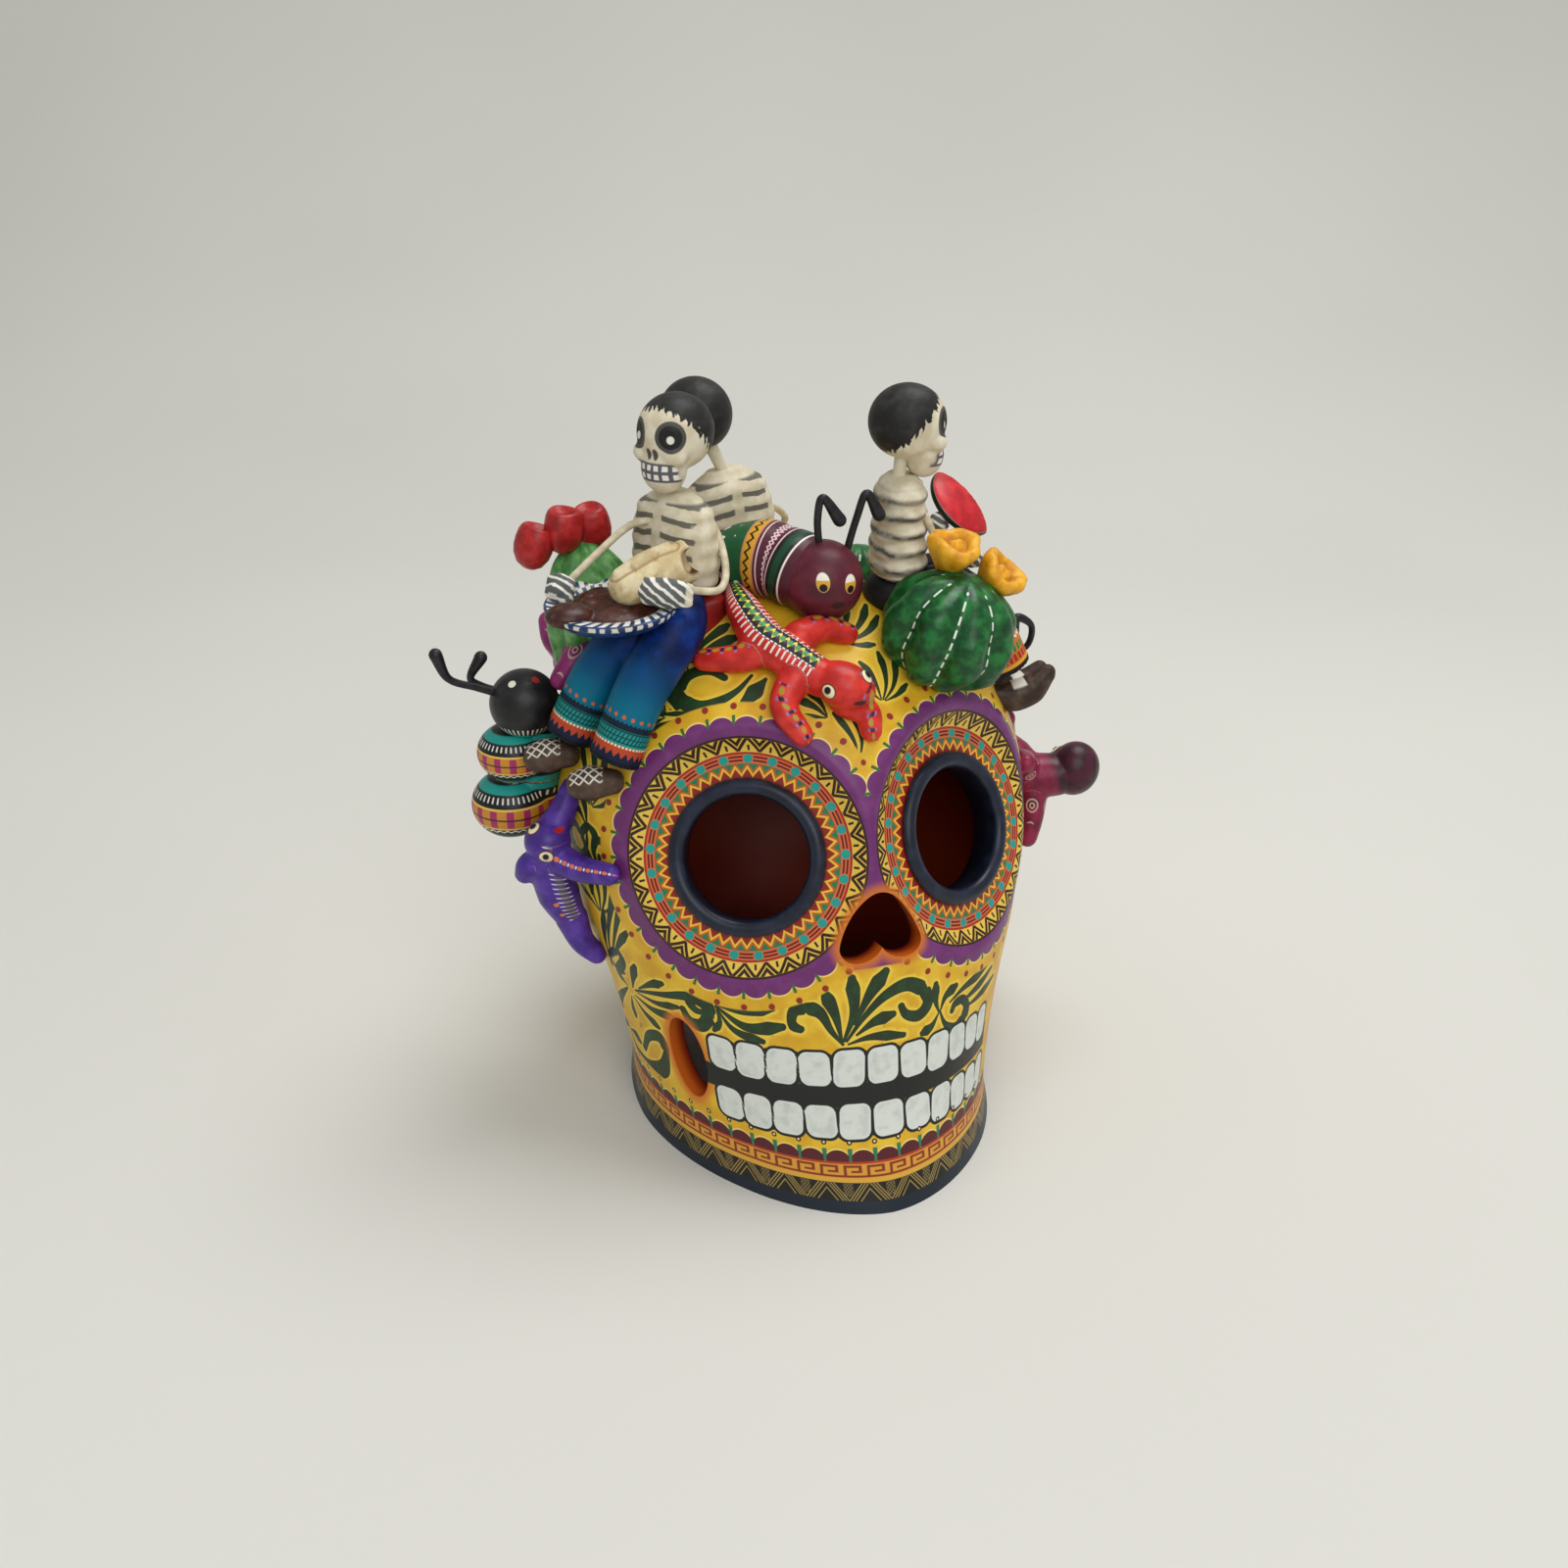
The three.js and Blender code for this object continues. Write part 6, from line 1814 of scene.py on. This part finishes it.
# %% Bug builders
def bug_body(plan):
    parts = [coil(plan["body"], plan["girth"], 80)]
    parts += [ball(at, radii, (0, 0, 0), 48) for at, radii in plan["beads"]]
    body = pressed(parts, 0.5, 4)
    follow(body, [plan["body"]], [plan["girth"]], (0, 0, 1))
    if plan["beads"]:
        points = corners(body)
        shares = [(points - np.array(at)) / np.array(radii) for at, radii in plan["beads"]]
        reach = np.stack([np.linalg.norm(share, axis=1) for share in shares], 1)
        write(body, "bead", np.stack(shares, 1)[np.arange(len(points)), reach.argmin(1)])
    return body


def bug(label, plan):
    name = label + "_bug_"
    for side, path in plan["antennae"].items():
        dress(coil(path, ANTENNA_RADII, 72), name + side + "_antenna", antenna_material)
    head = pressed([ball(plan["head"], (plan["radius"],) * 3, (0, 0, 0), 56)], 0.45, 2)
    own_frame(head, plan["head"])
    dress(head, name + "head", bug_materials[label][0])
    dress(bug_body(plan), name + "body", bug_materials[label][1])


for label, plan in (("top", TOP_BUG), ("left", LEFT_BUG), ("right", RIGHT_BUG)):
    bug(label, plan)

# %% [markdown]
# ## Lizards
# A lizard is a thick coil for the body, a ball for the head and four short coils for legs, pressed together
# and rubbed smooth, because the real ones were pinched from one lump and show no joints. The paint follows
# the spine and the legs: a patterned stripe down the back, hatching at its sides and rows of dots on the
# legs.

# %% Lizard plans
SPINE_RADII, LIMB_RADII = (2.4, 4.2, 5.4, 5.2, 4.8), (4.5, 3.6, 2.9)
LIZARDS = {
    "red_lizard": {
        "girth": 1.0, "up": (-0.2, -0.35, 1),
        "spine": ((-21.6, 13, 149.6), (-22.2, 1, 147.4), (-19.6, -7.6, 142.4), (-13.7, -14, 138.6),
                  (-8.4, -19, 135.2)),
        "head": ((-3.4, -22, 134), (8.2, 6.4, 5.8), (0, 0.35, -0.5)),
        "eyes": ((-9.0, -25.6, 134.3), (1.3, -25.3, 137.2)), "mouth": (-1.5, -28.5, 131.5),
        "legs": (((-19.6, -9, 140.6), (-26.4, -7, 138.2), (-34, -2.2, 136.8)),
                 ((-14.6, -17, 135.4), (-18.6, -20.4, 129.6), (-15.6, -25.8, 123.6)),
                 ((-10.6, -8.4, 142.6), (-4.2, -6.6, 143.8), (2.8, -6.8, 141.6)),
                 ((-2.4, -21.6, 129.6), (1.8, -24.8, 127), (2, -27.4, 123.4))),
    },
    "purple_lizard": {
        "girth": 1.06, "up": (-0.7, -0.7, 0.2),
        "spine": ((-66.2, 9, 58), (-70.5, 8, 66), (-73.4, 7, 75), (-75, 6.4, 84)),
        "head": ((-74.6, 6, 87.4), (6.2, 6.2, 6), (0, 0, 0)),
        "eyes": ((-76.2, 0.3, 85.7), (-78.3, 5.2, 92.2)), "mouth": (-71.8, 2.8, 91.8),
        "legs": (((-73, 7, 90), (-69.5, 9, 94.4), (-66.6, 11, 99.6)),
                 ((-73, 5, 83), (-67.5, -2.5, 82.4), (-61.6, -9.4, 83.4)),
                 ((-74, 7, 82), (-79.5, 7, 80.6), (-80.6, 8.4, 77.6)),
                 ((-69, 8, 62.4), (-66.4, 7, 55), (-62.8, 6.4, 50.6))),
    },
    "crimson_lizard": {
        "girth": 1.35, "up": (0.3, -0.9, 0.4),
        "spine": ((61, 36, 91), (66, 28, 87), (71.4, 19, 81.6), (78.6, 15, 82)),
        "head": ((84.6, 14, 83.8), (7.4, 7.2, 8.2), (0, 0.25, 0.1)),
        "eyes": ((80.4, 19.4, 88.4), (88.4, 19.2, 89.2)), "mouth": (89.4, 8.6, 82.0),
        "legs": (((69, 16, 85), (65.4, 10, 90.4), (63, 4, 92.6)),
                 ((72, 15, 77), (71, 12.6, 70), (69.4, 11, 64.4)),
                 ((66, 26, 90), (64, 22, 97), (62.6, 18, 101)),
                 ((67, 28, 84), (68.4, 30, 77), (68, 32, 71))),
    },
    "magenta_lizard": {
        "girth": 1.0, "up": (-1, -0.2, 0.5),
        "spine": ((-57.4, 20.4, 140), (-60, 24.4, 133), (-60.8, 32, 127), (-59.8, 40, 124)),
        "head": ((-57.6, 45.4, 123.4), (5.6, 6.6, 5.4), (0, 0, 0.3)),
        "eyes": ((-60.6, 49.0, 126.6), (-54.4, 50.4, 125.6)), "mouth": (-59.4, 51.4, 122.4),
        "legs": (((-59.6, 21, 134), (-64, 18.4, 131), (-66.8, 18.2, 127.4)),
                 ((-57, 25, 127.6), (-56, 24, 120), (-56.4, 23.4, 114.4)),
                 ((-60, 38, 126.6), (-64, 40, 130.6), (-65, 42.4, 135)),
                 ((-58.6, 40, 121), (-58.4, 40.6, 114), (-58.6, 41.4, 108.6))),
    },
}
print("lizards planned:", len(LIZARDS))


# %% Lizard grounds and faces
def lizard_ground(name, ground, dark, light):
    paint = Paint(name + "_paint", ground)
    return paint.brushed(dark, light, 4.0)


def lizard_face(paint, plan, mouth):
    x, y, z = paint.triple("local")
    for ex, ey, ez in plan["eyes"]:
        gap = length(x - ex, y - ey, z - ez)
        paint.layer("#5a2a14", gap.under(2.1, 0.15))
        paint.layer("#efe0bc", gap.under(1.75, 0.15))
        paint.layer("#140c0c", length(x - ex, y - ey, z - ez - 0.35).under(1.0, 0.15))
    mx, my, mz = plan["mouth"]
    paint.layer(mouth, length((x - mx) * 0.4, (y - my) * 0.5, z - mz).under(0.7, 0.15))


print("eyes and mouths ready")


# %% Lizard patterns
def red_pattern(paint, along, arc, spine, limb):
    back = spine * along.under(38.0, 0.5)
    paint.layer("#efe4dc", back * abs(arc).within(2.3, 4.4, 0.15) * along.fold(1.5).under(0.24, 0.1))
    paint.layer("#231a2c", back * abs(arc).under(2.2, 0.12))
    winding = abs(arc - (along.fold(2.2) - 0.55) * 1.7).under(0.5, 0.12)
    paint.layer("#e6d23a", back * winding * abs(arc).under(1.9))
    paint.layer("#2f8a3c", back * length(along.fold(4.4) - 1.1, arc).under(0.75, 0.15))
    paint.layer("#efe9df", back * abs(abs(arc) - 2.0).under(0.16, 0.08) * along.fold(1.1).over(0.18))
    aside, limb = abs(arc), limb * along.over(3.6, 0.4)
    paint.layer("#a98a2c", limb * length(along.fold(3.6) - 1.8, arc).under(0.95, 0.15))
    paint.layer("#1d1a2a", limb * length(along.fold(3.6), aside - 0.4).under(0.55, 0.12))
    paint.layer("#5b7fc4", limb * length(along.fold(3.6), aside - 1.5).under(0.4, 0.12))


def purple_pattern(paint, along, arc, spine, limb):
    paint.layer("#dcd3e2", spine * arc.within(2.6, 6.2, 0.3) * (along + arc * 0.5).fold(1.5).under(0.18, 0.1))
    paint.layer("#5d5a3c", spine * arc.within(3.6, 5.4, 0.2) * 0.6)
    spots = length(along.fold(4.2) - 2.1, arc - 2.0).under(0.6, 0.15)
    paint.layer("#d9772f", spine * spots * along.under(16.0))
    forearm = paint.number("limb").within(1.5, 2.5, 0.1)
    paint.layer("#e07a4a", forearm * length(along.fold(2.5) - 1.25, arc + 1.6).under(0.75, 0.15))
    paint.layer("#eee6e4", forearm * length(along.fold(2.5) * 2.2, arc + 1.6).under(0.6, 0.12))


def swirl_pattern(paint, along, arc, spine, limb):
    swirl = length(along.fold(7.0) - 3.5, arc.fold(7.0) - 3.5)
    curl = (abs(swirl - 1.9).under(0.24, 0.12) + abs(swirl - 0.75).under(0.24, 0.12)) * limb
    paint.layer("#cdb9a8", curl * along.under(9.0, 0.3) * 0.8)


def dark_head_pattern(paint, along, arc, spine, limb):
    swirl_pattern(paint, along, arc, spine, limb)
    x, y, z = paint.triple("local")
    hx, hy, hz = LIZARDS["crimson_lizard"]["head"][0]
    head = length(x - hx, y - hy, z - hz)
    paint.layer("#45152a", head.under(9.4, 1.2) * 0.9)
    paint.layer("#210d14", head.under(9.4, 1.0) * paint.noise(4.0).over(0.5, 0.1) * 0.8)
    mouth_line = abs(x - hx - 3.0 - (z - hz) * 0.1).under(0.4, 0.15)
    paint.layer("#14090c", mouth_line * head.under(9.6, 0.3) * z.within(79.5, 89.0, 0.6))


LIZARD_LOOKS = {
    "red_lizard": ("#cf2a22", "#a81c19", "#df4136", "#3a0d0c", red_pattern),
    "purple_lizard": ("#4d2c92", "#382070", "#6340ad", "#b3242a", purple_pattern),
    "crimson_lizard": ("#84173f", "#5c0f2c", "#9a2a52", "#1c0d0f", dark_head_pattern),
    "magenta_lizard": ("#8f2468", "#6d184e", "#a63a80", "#2a0d1c", swirl_pattern),
}
print("lizard looks:", len(LIZARD_LOOKS))

# %% Four lizards
EYE_BALL, EYE_SEAT, BACK_GIRTH = (1.9, 1.9, 1.9), 0.18, 4.6


def lizard(node, plan):
    ground, dark, light, mouth, pattern = LIZARD_LOOKS[node]
    stout = [radius * plan["girth"] for radius in SPINE_RADII]
    at, radii, turn = plan["head"]
    parts = [coil(plan["spine"], stout), ball(at, radii, turn)]
    parts += [coil(path, LIMB_RADII, 28) for path in plan["legs"]]
    seats = [Vector(eye) * (1 - EYE_SEAT) + Vector(at) * EYE_SEAT for eye in plan["eyes"]]
    parts += [ball(seat, EYE_BALL, (0, 0, 0), 20) for seat in seats]
    body = pressed(parts, 0.45, 7)
    follow(body, [plan["spine"], *plan["legs"]], [stout] + [LIMB_RADII] * 4, plan["up"])
    own_frame(body, (0, 0, 0))
    paint = lizard_ground(node, ground, dark, light)
    along, arc, limb = paint.number("along"), paint.number("turn") * BACK_GIRTH, paint.number("limb")
    pattern(paint, along, arc, limb.under(0.5, 0.1), limb.over(0.5, 0.1))
    lizard_face(paint, plan, mouth)
    dress(body, node, paint.done(roughness=0.4, coat=0.1, bump=0.14))


for node, plan in LIZARDS.items():
    lizard(node, plan)

# %% [markdown]
# ## Cacti, flowers and fruit
# A cactus is a ball whose radius dips in eight narrow grooves, with white stitches along them. The grooves
# could be only paint, but they show on its outline. Flowers are thick turned cups with a knob, and each
# fruit is a small urn with a hollow top. A sine around the axis takes the evenness of the wheel out of
# them.

# %% Cacti
CACTUS_RIBS, GROOVE_DEPTH, GROOVE_WIDTH, RIB_SWELL = 8, 0.19, 0.19, 1.06
# foot, turn, radius, height, colours, share of the stitches that shows
CACTI = {
    "front_cactus": ((25, -8.7, 127), (0.2, 0.25, 0), 17.0, 31.0, ("#0f5524", "#06301a", "#27843c"), 1.0),
    "left_cactus": ((-51.5, 28, 114), (0, -0.14, 0), 12.2, 48.0, ("#5a9a50", "#356f35", "#8cc07c"), 0.0),
    "back_cactus": ((19, 30, 136), (0, 0.08, 0), 9.0, 17.0, ("#1d6a30", "#10451e", "#2f8a45"), 1.0),
}


def cactus(node, at, turn, radius, height, colours, stitched):
    clear()
    bpy.ops.mesh.primitive_uv_sphere_add(segments=160, ring_count=72, radius=1)
    piece = bpy.context.object
    start = bare_points(piece)
    angle = np.arctan2(start[:, 1], start[:, 0])
    pitch = tau / CACTUS_RIBS
    turns = (angle + pitch / 2) / pitch
    groove = np.abs(turns - np.rint(turns)) * pitch
    rib = RIB_SWELL - GROOVE_DEPTH * np.exp(-(groove / GROOVE_WIDTH) ** 2)
    lumps = 1 + 0.03 * np.sin(angle * 3 + start[:, 2] * 5) + 0.02 * np.sin(angle * 5 - start[:, 2] * 9)
    made = np.stack([start[:, 0] * radius * rib * lumps, start[:, 1] * radius * rib * lumps,
                     height / 2 * (1 + start[:, 2])], 1)
    move_points(piece, made * MM)
    bpy.ops.object.shade_smooth()
    stand(piece, at, turn)
    own_frame(piece, at, turn)
    ground, dark, light = colours
    paint = Paint(node + "_paint", ground)
    paint.brushed(dark, light, 3.0)
    x, y, z = paint.triple("local")
    spoke = (y.math("ARCTAN2", x) + pitch / 2).fold(pitch) * length(x, y)
    stitch = spoke.under(0.27, 0.1) * z.fold(3.0).under(0.95, 0.15) * z.under(height - 1.5)
    paint.layer("#dfe8d6", stitch * stitched)
    dress(piece, node, paint.done(roughness=0.35, coat=0.1, bump=0.25, grain=1.6))


for node, plan in CACTI.items():
    cactus(node, *plan)

# %% Flowers
FLOWERS = {
    "upper_yellow_flower": ((30, -8.6, 161), (0.3, 0.1, 0)),
    "lower_yellow_flower": ((42.6, -9.2, 153.6), (0.5, 0.6, 0)),
}
FLOWER_PROFILE = (
    (0, -7), (1.8, -6.6), (2.6, -5.6), (4.2, -2.6), (5.8, 0), (6.7, 1.8), (6.9, 3), (6.5, 4), (5.4, 4.5),
    (4.2, 4), (3.2, 2.6), (2.7, 2.2), (2.2, 2.8), (1.7, 3.4), (0.9, 3.6), (0, 3.6),
)
flower_paint = Paint("flower_paint", "#e5a41c")
flower_paint.brushed("#c47d10", "#f2bd3a", 3.0)
x, y, z = flower_paint.triple("local")
flower_paint.layer("#a8640e", length(x, y).within(2.2, 3.6, 0.5) * z.over(1.5, 0.5) * 0.7)
flower_material = flower_paint.done(roughness=0.5, coat=0.1, bump=0.35, grain=1.8)
for number, (node, (at, turn)) in enumerate(FLOWERS.items()):
    flower = turned(FLOWER_PROFILE, 60)
    for vertex in flower.data.vertices:
        spread = np.arctan2(vertex.co.y, vertex.co.x)
        lobe_size = 1 + 0.06 * sin(spread * 3 + number) + 0.05 * sin(spread * 7)
        vertex.co.x, vertex.co.y = vertex.co.x * lobe_size, vertex.co.y * lobe_size
        vertex.co.z += 0.6 * MM * sin(spread * 2 + 1 + number) * (vertex.co.z > 0)
    stand(flower, at, turn)
    own_frame(flower, at, turn)
    dress(flower, node, flower_material)

# %% Fruit
FRUITS = {
    "front_red_fruit": (-70.6, 26, 161),
    "middle_red_fruit": (-63, 26, 164.6),
    "back_red_fruit": (-54.8, 29, 164.2),
}
FRUIT_PROFILE = (
    (0, -5.8), (1.8, -5.5), (3.4, -4.5), (4.6, -2.4), (5, -0.4), (5, 1.8), (4.7, 3.8), (4.2, 5), (3.6, 5.6),
    (3, 5.4), (2.4, 4.6), (1.2, 4.2), (0, 4.2),
)
fruit_paint = Paint("fruit_paint", "#a91d1e")
fruit_paint.brushed("#7c1213", "#c43433", 3.0)
fruit_material = fruit_paint.done(roughness=0.4, coat=0.08, bump=0.3, grain=1.8)
for number, (node, at) in enumerate(FRUITS.items()):
    fruit = turned(FRUIT_PROFILE, 48)
    for vertex in fruit.data.vertices:
        spread = np.arctan2(vertex.co.y, vertex.co.x)
        lobe_size = 1 + 0.05 * sin(spread * 3 + number * 2)
        vertex.co.x, vertex.co.y = vertex.co.x * lobe_size, vertex.co.y * lobe_size
    stand(fruit, at, (0.12 * sin(number), 0.3 - 0.25 * number, 0))
    dress(fruit, node, fruit_material)

# %% [markdown]
# ## The end
# The painted copy must not be larger than the solids.

# %% Finish
clear()
